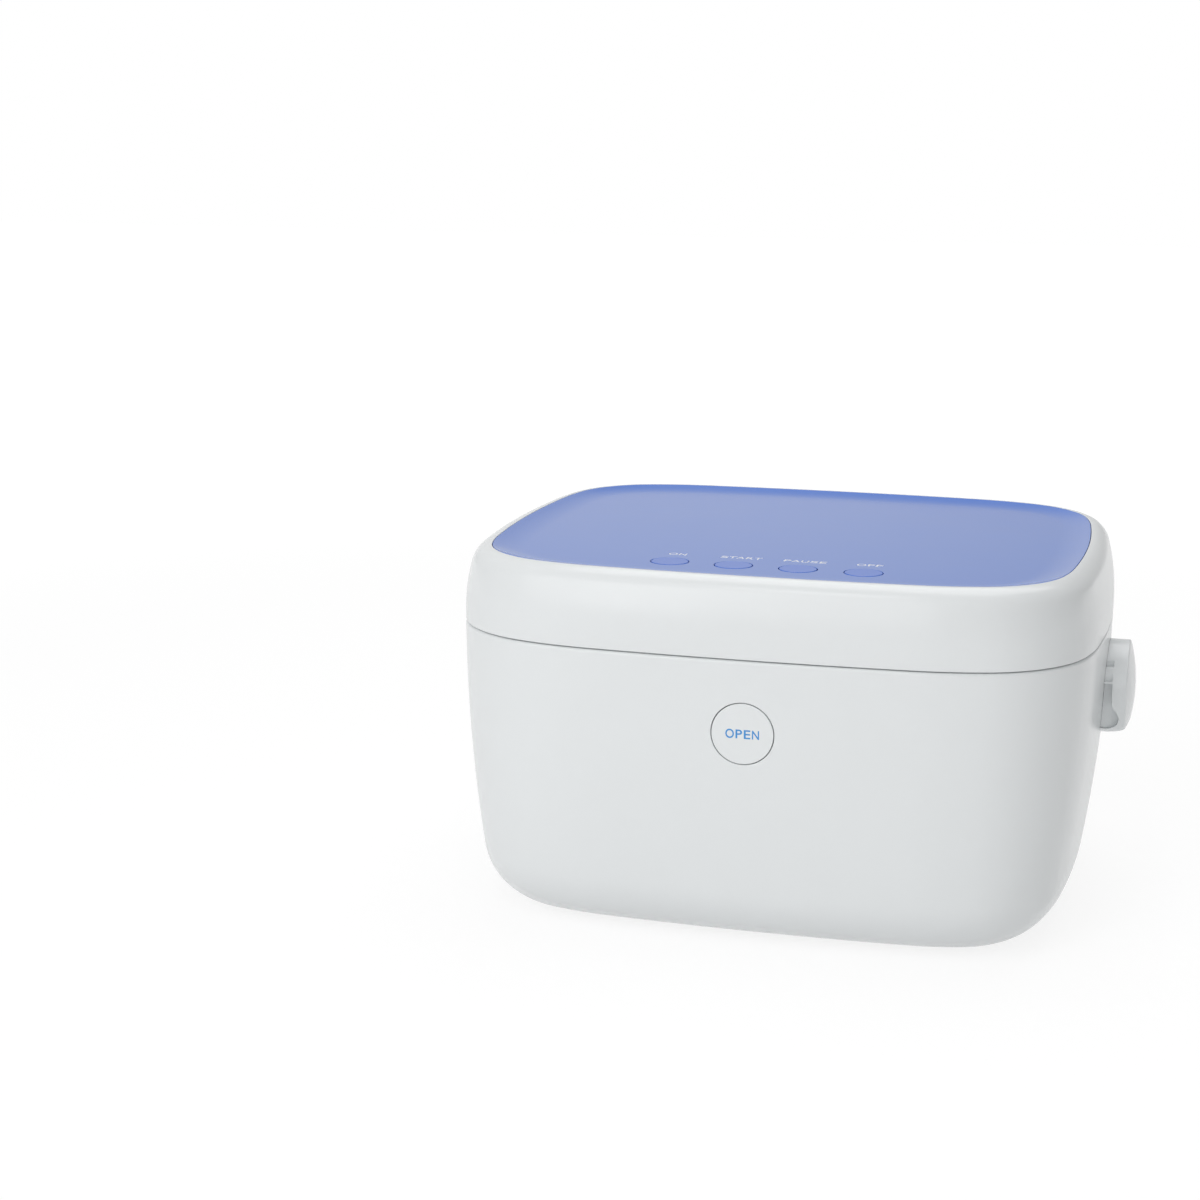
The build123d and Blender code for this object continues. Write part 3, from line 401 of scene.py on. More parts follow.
# %% Every finish, and the parts that wear it
# How each is made, its colour and its gloss, and then what is unlike the usual: the ripple
# and mirror of a moulding, or the stretch and scale of brushed lines.
LOOKS = {
    "casing_white": (moulded, (232, 235, 236), 0.24),
    "open_cap_white": (moulded, (233, 236, 237), 0.24),
    "panel_blue": (moulded, (68, 118, 208), 0.17, 3e-6),
    "button_blue": (moulded, (62, 113, 212), 0.2, 3e-6, 0.3),
    "underside_grey": (moulded, (214, 217, 219), 0.55, 4e-5),
    "deck_white": (moulded, (226, 229, 231), 0.36, 1e-5),
    "tub_aluminium": (brushed, (208, 211, 215), 0.28),
    "rack_steel": (plated, (214, 216, 219), 0.16),
    "pad_silicone": (rubber, (226, 228, 230)),
    "foot_rubber": (rubber, (46, 47, 49)),
    "gasket_rubber": (rubber, (96, 99, 103)),
    "hinge_steel": (brushed, (196, 199, 203), 0.3, (1, 30, 30), 160.0),
    "screw_steel": (plated, (190, 193, 197), 0.3),
    "spring_steel": (plated, (176, 179, 184), 0.26),
    "bezel_steel": (brushed, (206, 208, 211), 0.24, (1, 40, 40), 220.0),
    "board_white": (board, (224, 225, 222)),
    "board_green": (board, (34, 96, 66)),
    "led_ceramic": (moulded, (235, 226, 172), 0.4),
    "quartz_clear": (clear, (226, 234, 246)),
    "part_black": (moulded, (44, 45, 48), 0.42, 2e-5),
    "lead_sleeve": (moulded, (40, 41, 44), 0.45, 2e-5),
    "latch_acetal": (moulded, (214, 217, 220), 0.38, 1e-5),
    "magnet_nickel": (plated, (198, 196, 188), 0.22),
}
FINISHES = {name: make(name, rgb(*colour), *rest) for name, (make, colour, *rest) in LOOKS.items()}
for part in frame["record"]["subparts"]:
    thing = NODES[part["node"]]
    finish = FINISHES[part["material_slot"]]
    for slot in thing.material_slots:
        slot.material = finish
print("finishes:", len(FINISHES))

# %% [markdown]
# ## The outline that everything follows
# Seen from above, the box is a rounded rectangle made of sixteen arcs: four long flat
# ones for the walls, four tight ones for the corners, and between them eight of middling
# size that ease each wall into its corners. Each runs into the next without a kink.
# Casing, lid and panel are all this one path with a different section swept along it, so
# the path is made once, as a curve.

# %% The plan outline as a curve
CENTRE_Y = -2.75
WIDTH, DEPTH = 320.0, 280.0
FRONT_R, SIDE_R, EASE_R, CORNER_R = 1220.0, 700.0, 150.0, 62.7
FRONT_END, SIDE_END = 3.6, 5.2  # degrees from the middle of a wall to the end of its arc


def polar(centre, reach, angle):
    """Point at a distance and angle from a centre."""
    a = math.radians(angle)
    return centre[0] + reach * math.cos(a), centre[1] + reach * math.sin(a)


EASE_SIDE = polar((WIDTH / 2 - SIDE_R, 0), SIDE_R - EASE_R, SIDE_END)
EASE_FRONT = polar((0, DEPTH / 2 - FRONT_R), FRONT_R - EASE_R, 90 - FRONT_END)


def corner_centre():
    """Centre of the corner arc, which touches both easing arcs from inside."""
    apart = Vector(EASE_FRONT) - Vector(EASE_SIDE)
    rise = math.sqrt((EASE_R - CORNER_R) ** 2 - apart.length**2 / 4)
    return (Vector(EASE_FRONT) + Vector(EASE_SIDE)) / 2 + rise * Vector((-apart.y, apart.x)).normalized()


CORNER = corner_centre()
CORNER_START = math.degrees(math.atan2(CORNER.y - EASE_SIDE[1], CORNER.x - EASE_SIDE[0]))
CORNER_STOP = math.degrees(math.atan2(CORNER.y - EASE_FRONT[1], CORNER.x - EASE_FRONT[0]))


def outline_points(inset=0.0, step=3.0):
    """Points of the outline, moved inwards, anticlockwise from the right, in millimetres."""
    # Each run: centre, radius, first and last angle, and how far apart its points are.
    runs = [
        ((WIDTH / 2 - SIDE_R, 0), SIDE_R, 0, SIDE_END, 3 * step),
        (EASE_SIDE, EASE_R, SIDE_END, CORNER_START, 1.5 * step),
        (CORNER, CORNER_R, CORNER_START, CORNER_STOP, step / 2),
        (EASE_FRONT, EASE_R, CORNER_STOP, 90 - FRONT_END, 1.5 * step),
        ((0, DEPTH / 2 - FRONT_R), FRONT_R, 90 - FRONT_END, 90, 3 * step),
    ]
    quarter = []
    for centre, radius, start, end, spacing in runs:
        count = math.ceil(radius * math.radians(end - start) / spacing)
        quarter += [polar(centre, radius - inset, start + (end - start) * i / count) for i in range(count)]
    half = quarter + [(0.0, DEPTH / 2 - inset)] + [(-x, y) for x, y in reversed(quarter)]
    points = half + [(x, -y) for x, y in reversed(half[1:-1])]
    return [(x, y + CENTRE_Y) for x, y in points]


def curve_of(name, points, cyclic=True):
    """Curve object of straight runs between points, given in millimetres."""
    data = bpy.data.curves.new(name, "CURVE")
    data.dimensions = "3D"
    spline = data.splines.new("POLY")
    spline.points.add(len(points) - 1)
    flat = [(x * MM, y * MM, z * MM, 1.0) for x, y, z in points]
    spline.points.foreach_set("co", np.array(flat, float).ravel())
    spline.use_cyclic_u = cyclic
    return new_object(name, data)


outline = curve_of("outline", [(x, y, 0.0) for x, y in outline_points()])
print("outline points", len(outline.data.splines[0].points))

# %% [markdown]
# ## Sweeping a section round the box
# A lathe turns a section about an axis; this box needs a section carried round a rounded
# rectangle. Geometry Nodes has that in one node, Curve to Mesh. The section is a second
# curve whose points are written as (distance in from the outline, height), as a drawing
# of the wall's cut would give them.


# %% Helpers for trees
def node_in(tree, kind, **settings):
    """A node of a tree, with its settings."""
    node = tree.nodes.new(kind)
    for key, value in settings.items():
        setattr(node, key, value)
    return node


def new_tree(name, inputs):
    """A tree with named inputs, the names' identifiers, and the node that the inputs come from."""
    tree = bpy.data.node_groups.new(name, "GeometryNodeTree")
    new_socket = tree.interface.new_socket
    names = {}
    for label, kind in inputs.items():
        names[label] = new_socket(label, in_out="INPUT", socket_type="NodeSocket" + kind).identifier
    new_socket("Piece", in_out="OUTPUT", socket_type="NodeSocketGeometry")
    return tree, names, node_in(tree, "NodeGroupInput")


def close_tree(tree, start, geometry):
    """Real geometry and its finish: the last steps of every tree."""
    realize = node_in(tree, "GeometryNodeRealizeInstances")
    finish = node_in(tree, "GeometryNodeSetMaterial")
    end = node_in(tree, "NodeGroupOutput")
    tree.links.new(geometry, realize.inputs["Geometry"])
    tree.links.new(realize.outputs["Geometry"], finish.inputs["Geometry"])
    tree.links.new(start.outputs["Finish"], finish.inputs["Material"])
    tree.links.new(finish.outputs["Geometry"], end.inputs[0])


def sweep_along(tree, start, path, profile):
    """Curve to Mesh along the tree's input curve, with the profile kept upright."""
    steady = node_in(tree, "GeometryNodeSetCurveNormal", mode="Z_UP")
    sweep = node_in(tree, "GeometryNodeCurveToMesh")
    tree.links.new(start.outputs[path], steady.inputs["Curve"])
    tree.links.new(steady.outputs["Curve"], sweep.inputs["Curve"])
    tree.links.new(profile, sweep.inputs["Profile Curve"])
    close_tree(tree, start, sweep.outputs["Mesh"])
    return sweep


def plain_mesh(thing, name):
    """The evaluated shape of an object as a new object with no modifiers."""
    bpy.context.view_layer.update()
    ready = thing.evaluated_get(bpy.context.evaluated_depsgraph_get())
    mesh = bpy.data.meshes.new_from_object(ready)
    mesh.name = name
    return new_object(name, mesh)


def grown(source, name, tree, names, values):
    """What a tree makes of an object, which is used up."""
    modifier = source.modifiers.new("tree", "NODES")
    modifier.node_group = tree
    for label, value in values.items():
        modifier[names[label]] = value
    piece = plain_mesh(source, name)
    bpy.data.objects.remove(source)
    return piece


# %% The sweep tree
def sweep_tree():
    """The section of an object carried along an outline."""
    inputs = {"Outline": "Geometry", "Section": "Object", "Finish": "Material"}
    tree, names, start = new_tree("sweep_round_box", inputs)
    section = node_in(tree, "GeometryNodeObjectInfo")
    tree.links.new(start.outputs["Section"], section.inputs["Object"])
    sweep_along(tree, start, "Outline", section.outputs["Geometry"])
    return tree, names


SWEEP, SWEEP_INPUTS = sweep_tree()
print("inputs of the sweep tree:", list(SWEEP_INPUTS))


# %% What runs the sweep tree
def outward(mesh):
    """Turn a closed mesh the right way out."""
    work = bmesh.new()
    work.from_mesh(mesh)
    bmesh.ops.remove_doubles(work, verts=work.verts, dist=1e-7)
    if work.calc_volume(signed=True) < 0:
        bmesh.ops.reverse_faces(work, faces=work.faces)
    work.to_mesh(mesh)
    work.free()


def smooth(mesh, angle=28.0):
    """Smooth shading with sharp edges where faces meet at more than an angle."""
    mesh.shade_smooth()
    mesh.set_sharp_from_angle(angle=math.radians(angle))


def swept(name, section, finish):
    """A closed section, given as (inset, height) points, carried round the outline."""
    shape = curve_of(name + "_section", [(-inset, -height, 0.0) for inset, height in section])
    path = outline.copy()
    bpy.context.collection.objects.link(path)
    piece = grown(path, name, SWEEP, SWEEP_INPUTS, {"Section": shape, "Finish": finish})
    bpy.data.objects.remove(shape)
    outward(piece.data)
    smooth(piece.data)
    print(name, "faces", len(piece.data.polygons))
    return piece


def arc(centre, radius, start, end, step=6.0):
    """Points of an arc in a section. Angle 0 faces outwards and 90 faces up."""
    count = max(2, round(abs(end - start) * max(1.0, radius / 40) / step))
    angles = [math.radians(start + (end - start) * i / count) for i in range(count + 1)]
    return [(centre[0] - radius * math.cos(a), centre[1] + radius * math.sin(a)) for a in angles]


# %% [markdown]
# ## Casing, lid and panel
# The lower casing and the lid are one moulded wall each, 2.6 mm thick. Their sections are
# a few arcs: a large one at the foot, a slow one up the side, and a shoulder on the lid.
# The real mouldings have no sharp edge anywhere, so each rim gets a small round too:
# below the seam that round shows as the thin bright line in the photograph.


# %% Sizes of the two casings
def wall_inset(z, depth=0.0):
    """How far in from the outline the lower wall's curve is at a height, at a depth in its skin."""
    return LOWER_R - math.sqrt((LOWER_R - depth) ** 2 - (WIDEST_Z - z) ** 2)


WALL = 2.6
UNDERSIDE_Z, LEDGE_LOW, LEDGE_HIGH = 2.0, 4.5, 7.0
SEAM_LOW, SEAM_HIGH = 147.2, 147.8
LOWER_R, WIDEST_Z = 830.0, 153.5
FOOT_R = 34.0
FOOT_Z = UNDERSIDE_Z + FOOT_R
FOOT = (wall_inset(FOOT_Z, FOOT_R), FOOT_Z)
FOOT_ANGLE = -math.degrees(math.asin((WIDEST_Z - FOOT_Z) / (LOWER_R - FOOT_R)))
UPPER_R, UPPER_ANGLE = 90.0, 15.5
SHOULDER_R, SHOULDER_END = 10.4, 88.8
SHOULDER = (
    UPPER_R - (UPPER_R - SHOULDER_R) * math.cos(math.radians(UPPER_ANGLE)),
    WIDEST_Z + (UPPER_R - SHOULDER_R) * math.sin(math.radians(UPPER_ANGLE)),
)
CREST = arc(SHOULDER, SHOULDER_R, 0.0, SHOULDER_END)[-1]
print("crest of the rim, inset and height:", [round(c, 2) for c in CREST])


def wall_run(depth, low, high, step=4.0):
    """Points up or down the slow curve of the lower wall, at a depth inside its skin."""
    count = max(2, round(abs(high - low) / step))
    heights = [low + (high - low) * i / count for i in range(count + 1)]
    return [(wall_inset(z, depth), z) for z in heights]


# %% The lower casing
CASING_RIM = 1.5
foot_top = FOOT_Z + FOOT_R * math.sin(math.radians(FOOT_ANGLE))
inner_top = FOOT_Z + (FOOT_R - WALL) * math.sin(math.radians(FOOT_ANGLE))
lip = wall_run(0.0, SEAM_LOW - CASING_RIM, SEAM_LOW, 1.0)[0][0] + CASING_RIM
cover_in, ledge_in = FOOT[0] + 1.0, FOOT[0] + 11.5
ledge_angle = -math.degrees(math.asin((FOOT_Z - LEDGE_HIGH) / (FOOT_R - WALL)))
casing_section = (
    arc(FOOT, FOOT_R, -90, FOOT_ANGLE, 4.0)
    + wall_run(0.0, foot_top, SEAM_LOW - CASING_RIM)[1:]
    + arc((lip, SEAM_LOW - CASING_RIM), CASING_RIM, 0, 90, 10.0)[1:]
    + wall_run(WALL, SEAM_LOW, inner_top, 8.0)
    + arc(FOOT, FOOT_R - WALL, FOOT_ANGLE, ledge_angle, 8.0)[1:]
    + [(ledge_in, LEDGE_HIGH), (ledge_in, LEDGE_LOW), (cover_in, LEDGE_LOW), (cover_in, UNDERSIDE_Z)]
)
lower_casing = swept("lower_casing", casing_section, FINISHES["casing_white"])

# %% The lid casing
LID_RIM, CREST_ROUND = 0.6, 0.4
PANEL_SEAT, FLANGE_LOW, FLANGE_IN = 180.0, 177.6, 21.0
lid_lip = wall_run(0.0, SEAM_HIGH, SEAM_HIGH + LID_RIM, 1.0)[0][0] + LID_RIM
shoulder_in = math.degrees(math.asin((FLANGE_LOW - SHOULDER[1]) / (SHOULDER_R - WALL)))
lid_section = (
    arc((lid_lip, SEAM_HIGH + LID_RIM), LID_RIM, -90, 0, 15.0)
    + wall_run(0.0, SEAM_HIGH + LID_RIM, WIDEST_Z, 2.0)[1:]
    + arc((UPPER_R, WIDEST_Z), UPPER_R, 0, UPPER_ANGLE, 3.0)[1:]
    + arc(SHOULDER, SHOULDER_R, UPPER_ANGLE, SHOULDER_END - 2.0, 5.0)[1:]
    + arc((CREST[0] - CREST_ROUND, CREST[1] - CREST_ROUND), CREST_ROUND, 90, 180, 18.0)
    + [(CREST[0], PANEL_SEAT), (FLANGE_IN, PANEL_SEAT), (FLANGE_IN, FLANGE_LOW)]
    + arc(SHOULDER, SHOULDER_R - WALL, shoulder_in, UPPER_ANGLE)
    + arc((UPPER_R, WIDEST_Z), UPPER_R - WALL, UPPER_ANGLE, 0, 4.0)[1:]
    + wall_run(WALL, WIDEST_Z, SEAM_HIGH)[1:]
)
lid_casing = swept("lid_casing", lid_section, FINISHES["casing_white"])

# %% [markdown]
# ## Openings with soft edges
# The casing has a round hole for the front button, a hole for the power inlet and two
# notches for the hinges. A Boolean cuts them. For the button the cutter is a plug that
# follows the curve of the wall and flares at the skin, so the hole gets a small round
# of even width, as a moulded hole has.


# %% Cutting
def skin_y(x, z):
    """Y of the front wall's skin at x and z, in millimetres."""
    return -(math.sqrt((FRONT_R - wall_inset(z)) ** 2 - x * x) + DEPTH / 2 - FRONT_R) + CENTRE_Y


def mesh_piece(name, points, faces, finish=None):
    """Object from points in millimetres."""
    mesh = bpy.data.meshes.new(name)
    mesh.from_pydata([tuple(c * MM for c in point) for point in points], [], faces)
    if finish:
        mesh.materials.append(finish)
    return new_object(name, mesh)


def lathe(name, rows, place_point, count=96):
    """Closed shape from rows of (radius, depth): place_point sets each one in space."""
    points, faces = [], []
    for radius, depth in rows:
        for i in range(count):
            turn = 2 * math.pi * i / count
            points.append(place_point(radius * math.cos(turn), radius * math.sin(turn), depth))
    for row in range(len(rows) - 1):
        for i in range(count):
            j = (i + 1) % count
            faces.append((row * count + i, row * count + j, (row + 1) * count + j, (row + 1) * count + i))
    faces.append(tuple(range(count)))
    faces.append(tuple((len(rows) - 1) * count + i for i in range(count)))
    thing = mesh_piece(name, points, faces)
    work = bmesh.new()
    work.from_mesh(thing.data)
    bmesh.ops.recalc_face_normals(work, faces=work.faces)
    work.to_mesh(thing.data)
    work.free()
    return thing


def box_cutter(name, low, high):
    """Plain block used to cut with."""
    corners = [(x, y, z) for x in (low[0], high[0]) for y in (low[1], high[1]) for z in (low[2], high[2])]
    sides = [(0, 1, 3, 2), (4, 6, 7, 5), (0, 4, 5, 1), (2, 3, 7, 6), (0, 2, 6, 4), (1, 5, 7, 3)]
    return mesh_piece(name, corners, sides)


def carved(piece, cutters):
    """The piece less its cutters. Edges between old skin and new cuts are kept sharp."""
    name = piece.name
    finish = piece.data.materials[0]
    marker = finish.copy()
    for cutter in cutters:
        cutter.data.materials.clear()
        cutter.data.materials.append(marker)
        modifier = piece.modifiers.new("cut", "BOOLEAN")
        modifier.operation = "DIFFERENCE"
        modifier.solver = "EXACT"
        modifier.material_mode = "TRANSFER"
        modifier.object = cutter
    result = plain_mesh(piece, name + "_cut")
    bpy.data.objects.remove(piece)
    for cutter in cutters:
        bpy.data.objects.remove(cutter)
    result.name = name
    mesh = result.data
    smooth(mesh)
    cut_slots = [i for i, m in enumerate(mesh.materials) if m == marker]
    cut_faces = [face.material_index in cut_slots for face in mesh.polygons]
    sides = {}
    for face in mesh.polygons:
        for key in face.edge_keys:
            sides.setdefault(key, []).append(cut_faces[face.index])
    for edge in mesh.edges:
        if len(set(sides.get(edge.key, []))) == 2:
            edge.use_edge_sharp = True
    for face in mesh.polygons:
        face.material_index = 0
    mesh.materials.clear()
    mesh.materials.append(finish)
    bpy.data.materials.remove(marker)
    print(name, "after cutting", len(mesh.polygons), "faces")
    return result


# %% The openings of both casings
CUTTER_OUT = 3.0  # how far a cutter stands out of the skin


def soft_hole(radius, rounding, depth, steps, lift):
    """Rows of (radius, depth) for a cutter whose mouth flares in a quarter round."""
    rows = [(radius, depth), (radius, rounding)]
    for step in range(1, steps + 1):
        a = math.radians(90 / steps * step)
        rows.append((radius + rounding * (1 - math.cos(a)), rounding * (1 - math.sin(a)) + lift))
    return rows + [(radius + rounding, -CUTTER_OUT)]


PAIR = (-1, 1)
OPEN_Z, OPEN_HOLE_R, OPEN_HOLE_ROUND = 112.0, 15.25, 0.35
INLET_X, INLET_Z, INLET_HOLE_R, INLET_CUT = -60.0, 42.0, 5.6, (118.0, 140.0)
HINGE_X, NOTCH_HALF, BEHIND = 62.0, 18.6, 145.0
BASE_NOTCH, LID_NOTCH = (127.25, 142.4, 150.0), (125.25, 145.0, 153.2)  # front, bottom and top
plug = lathe(
    "plug",
    soft_hole(OPEN_HOLE_R, OPEN_HOLE_ROUND, depth=8.0, steps=6, lift=0.004),
    lambda u, w, depth: (u, skin_y(u, OPEN_Z + w) + depth, OPEN_Z + w),
    count=120,
)
inlet_plug = lathe(
    "inlet_plug",
    [(INLET_HOLE_R, y) for y in INLET_CUT],
    lambda u, w, y: (INLET_X + u, y, INLET_Z + w),
)
base_cutters, lid_cutters = [plug, inlet_plug], []
for side in PAIR:
    near, far = side * HINGE_X - NOTCH_HALF, side * HINGE_X + NOTCH_HALF
    for cutters, (front, low, high) in ((base_cutters, BASE_NOTCH), (lid_cutters, LID_NOTCH)):
        cutters.append(box_cutter("notch", (near, front, low), (far, BEHIND, high)))
lower_casing = carved(lower_casing, base_cutters)
lid_casing = carved(lid_casing, lid_cutters)

# %% [markdown]
# ## The blue panel
# The panel is a shallow dish let into the lid: its edge climbs to meet the white rim and
# its middle is flat. The dish is one more sweep. Its inner side is left at the flat, and
# the middle is filled, then four holes with soft edges are cut for the buttons.

# %% Panel
DISH_R, DISH_DEPTH, FLAT_INSET = 52.0, 2.47, 31.0
PANEL_GAP, EDGE, BELOW_CREST = 0.3, 0.2, 0.1
PANEL_Z = CREST[1] - DISH_DEPTH
panel_in = CREST[0] + PANEL_GAP
dish_run = math.sqrt(DISH_R**2 - (DISH_R - DISH_DEPTH) ** 2)
dish_angle = math.degrees(math.asin(dish_run / DISH_R))
dish = arc((panel_in + dish_run, PANEL_Z + DISH_R), DISH_R, dish_angle - 90, -90, 1.6)
dish = [(inset, height) for inset, height in dish if inset > panel_in + EDGE]
panel_section = (
    [(panel_in, PANEL_SEAT)]
    + arc((panel_in + EDGE, CREST[1] - BELOW_CREST - EDGE), EDGE, 0, 70, 18.0)
    + dish
    + [(FLAT_INSET, PANEL_Z), (FLAT_INSET, PANEL_SEAT)]
)
panel_ring = swept("panel_ring", list(reversed(panel_section)), FINISHES["panel_blue"])


def fill_middle(ring_piece, name, low, high):
    """Drop the inner wall of a swept ring and close the ring with two flat faces."""
    work = bmesh.new()
    work.from_mesh(ring_piece.data)
    levels = {round(low, 2), round(high, 2)}
    wall = [face for face in work.faces if {round(v.co.z / MM, 2) for v in face.verts} == levels]
    bmesh.ops.delete(work, geom=wall, context="FACES_ONLY")
    bmesh.ops.holes_fill(work, edges=[edge for edge in work.edges if edge.is_boundary], sides=0)
    bmesh.ops.recalc_face_normals(work, faces=work.faces)
    work.to_mesh(ring_piece.data)
    work.free()
    ring_piece.name = name
    outward(ring_piece.data)
    smooth(ring_piece.data)
    return ring_piece


# %% Holes for the four buttons, and the three mouldings in place
BUTTON_X, BUTTON_Y, BUTTON_HOLE_R, BUTTON_HOLE_ROUND = (-47.4, -15.8, 15.8, 47.4), -93.75, 9.5, 0.2
top_panel = fill_middle(panel_ring, "top_panel", PANEL_SEAT, PANEL_Z)
button_hole = soft_hole(BUTTON_HOLE_R, BUTTON_HOLE_ROUND, depth=4.0, steps=5, lift=0.003)
button_plugs = [
    lathe("plug", button_hole, lambda u, w, depth: (x + u, BUTTON_Y + w, PANEL_Z - depth)) for x in BUTTON_X
]
top_panel = carved(top_panel, button_plugs)
bpy.data.objects.remove(outline)


def compare(piece, part_box):
    """Print the sizes of a piece and of the part it replaces, in millimetres."""
    for what, size in ((piece.name, piece.dimensions), ("its part", part_box[1] - part_box[0])):
        print(what, [round(edge / MM, 1) for edge in size])


for piece, body, node, slot in (
    (lower_casing, "base", "base_shell", "casing_white"),
    (lid_casing, "lid", "lid_shell", "casing_white"),
    (top_panel, "lid", "lid_panel", "panel_blue"),
):
    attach(piece, body)
    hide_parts(node)
    compare(piece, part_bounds(node))

# %% [markdown]
# ## Lettering
# Each button has its word beside it, and the front button carries its word on its cap.
# The words are pad printed, so they stand a few hundredths of a millimetre proud and
# follow the surface. A text object gives each letter's shape; a small table gives the
# widths that letters have in plain grotesque type. As a mesh, each point of the word is
# then laid on the panel or on the curved cap.

# %% Letter shapes
# How far each capital moves the pen, and the left and right edge of its ink, in
# thousandths of the type size. Round letters pass the lines they stand between.
CAPITALS = {
    "A": (667, 14, 654), "E": (667, 86, 616), "F": (611, 86, 583), "N": (722, 76, 646), "O": (778, 39, 739),
    "P": (667, 86, 622), "R": (722, 88, 684), "S": (667, 49, 620), "T": (611, 14, 597), "U": (722, 79, 644),
}
CAP_TOP = 718
PRINT_PROUD, PRINT_SUNK = 0.03, 0.08
ROUND = {"O": (-19, 737), "S": (-19, 737), "U": (-19, CAP_TOP)}


def letter_shape(character, bold):
    """Points and faces of one letter, with each direction running from 0 to 1."""
    data = bpy.data.curves.new("letter", "FONT")
    data.body = character
    data.extrude = 0.05
    data.offset = bold
    data.resolution_u = 6
    holder = new_object("letter", data)
    piece = plain_mesh(holder, "letter")
    spots = np.array([vertex.co for vertex in piece.data.vertices])
    faces = [list(face.vertices) for face in piece.data.polygons]
    for used in (holder, piece):
        bpy.data.objects.remove(used)
    return (spots - spots.min(axis=0)) / np.ptp(spots, axis=0), faces


def word(name, text, width, height, bold, lay, finish):
    """Printed word of a given size. lay turns (across, up, proud) into a point in space."""
    points, faces, pen = [], [], 0
    for character in text:
        advance, left, right = CAPITALS[character]
        low, high = ROUND.get(character, (0, CAP_TOP))
        spots, outline_faces = letter_shape(character, bold)
        faces += [[len(points) + i for i in face] for face in outline_faces]
        points += [(pen + left + u * (right - left), low + w * (high - low), d) for u, w, d in spots]
        pen += advance
    first, last = min(u for u, w, d in points), max(u for u, w, d in points)
    across, upwards = width / (last - first), height / CAP_TOP
    placed = []
    for u, w, d in points:
        proud = PRINT_PROUD if d > 0.5 else -PRINT_SUNK
        placed.append(lay((u - (first + last) / 2) * across, (w - CAP_TOP / 2) * upwards, proud))
    piece = mesh_piece(name, placed, faces, finish)
    outward(piece.data)
    piece.data.shade_flat()
    return piece


print("capitals:", *CAPITALS)

# %% The five printed words
PRINT_WHITE = moulded("print_white", rgb(238, 241, 246), 0.4)
PRINT_BLUE = moulded("print_blue", rgb(62, 146, 214), 0.4)
WORD_Y, PANEL_CAPITALS, PANEL_BOLD = -75.1, 4.6, 0.008
CAP_CAPITALS, CAP_WIDTH, CAP_BOLD = 4.35, 16.1, 0.014
words = {  # each word's middle and width
    "on": (-47.8, 8.9),
    "start": (-15.7, 20.4),
    "pause": (16.0, 21.1),
    "off": (47.6, 12.6),
}
for text, (word_x, width) in words.items():
    piece = word(
        "word_" + text,
        text.upper(),
        width,
        PANEL_CAPITALS,
        PANEL_BOLD,
        lambda u, w, proud: (word_x + u, WORD_Y + w, PANEL_Z + proud),
        PRINT_WHITE,
    )
    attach(piece, "lid")
open_word = word(
    "word_open",
    "OPEN",
    CAP_WIDTH,
    CAP_CAPITALS,
    CAP_BOLD,
    lambda u, w, proud: (u, skin_y(u, OPEN_Z + w) - proud, OPEN_Z + w),
    PRINT_BLUE,
)
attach(open_word, "open_button")
print("words:", len(words) + 1)

# %% [markdown]
# ## Screws
# Nearly fifty screws hold the box together. Each is the same screw in another size, so
# one head and one threaded shank are modelled, and Geometry Nodes places them on points
# that carry a direction and two sizes. The head is domed with a cross recess, and the
# shank has its thread as fine ridges.


# %% One screw
def axis_lathe(name, rows, count):
    """Lathe about Z from rows of (radius, height)."""
    return lathe(name, rows, lambda u, w, height: (u, w, height), count)


def screw_head():
    """Domed head 1 mm high and 1 mm in radius, with its cross recess."""
    rows = [(0.93, 0.0), (1.0, 0.07), (1.0, 0.42)]
    rows += [(0.98 * math.cos(a), 0.42 + 0.56 * math.sin(a)) for a in (0.25, 0.5, 0.75, 1.0, 1.2, 1.4)]
    head = axis_lathe("screw_head", rows, 40)
    blades = []
    for turn in (0.0, math.pi / 2):
        corners = []
        for height, reach, half in ((1.2, 0.66, 0.15), (0.35, 0.42, 0.1)):
            for along, across in ((-reach, -half), (reach, -half), (reach, half), (-reach, half)):
                corners.append((
                    along * math.cos(turn) - across * math.sin(turn),
                    along * math.sin(turn) + across * math.cos(turn),
                    height,
                ))
        faces = [(0, 1, 2, 3), (7, 6, 5, 4), (0, 4, 5, 1), (1, 5, 6, 2), (2, 6, 7, 3), (3, 7, 4, 0)]
        blades.append(mesh_piece("blade", corners, faces))
    head.data.materials.append(FINISHES["screw_steel"])
    return carved(head, blades)


def screw_shank():
    """Threaded shank 1 mm in radius and 1 mm long, hanging below the seat."""
    rows = [(0.8, 0.04)]
    turns = 9
    for i in range(turns):
        top = -i / (turns + 1.5)
        rows += [(0.8, top - 0.01), (1.0, top - 0.04), (0.8, top - 0.07)]
    rows += [(0.5, -0.96), (0.2, -1.0)]
    return axis_lathe("screw_shank", rows, 20)


HEAD, SHANK = screw_head(), screw_shank()
print("faces of the shank:", len(SHANK.data.polygons))


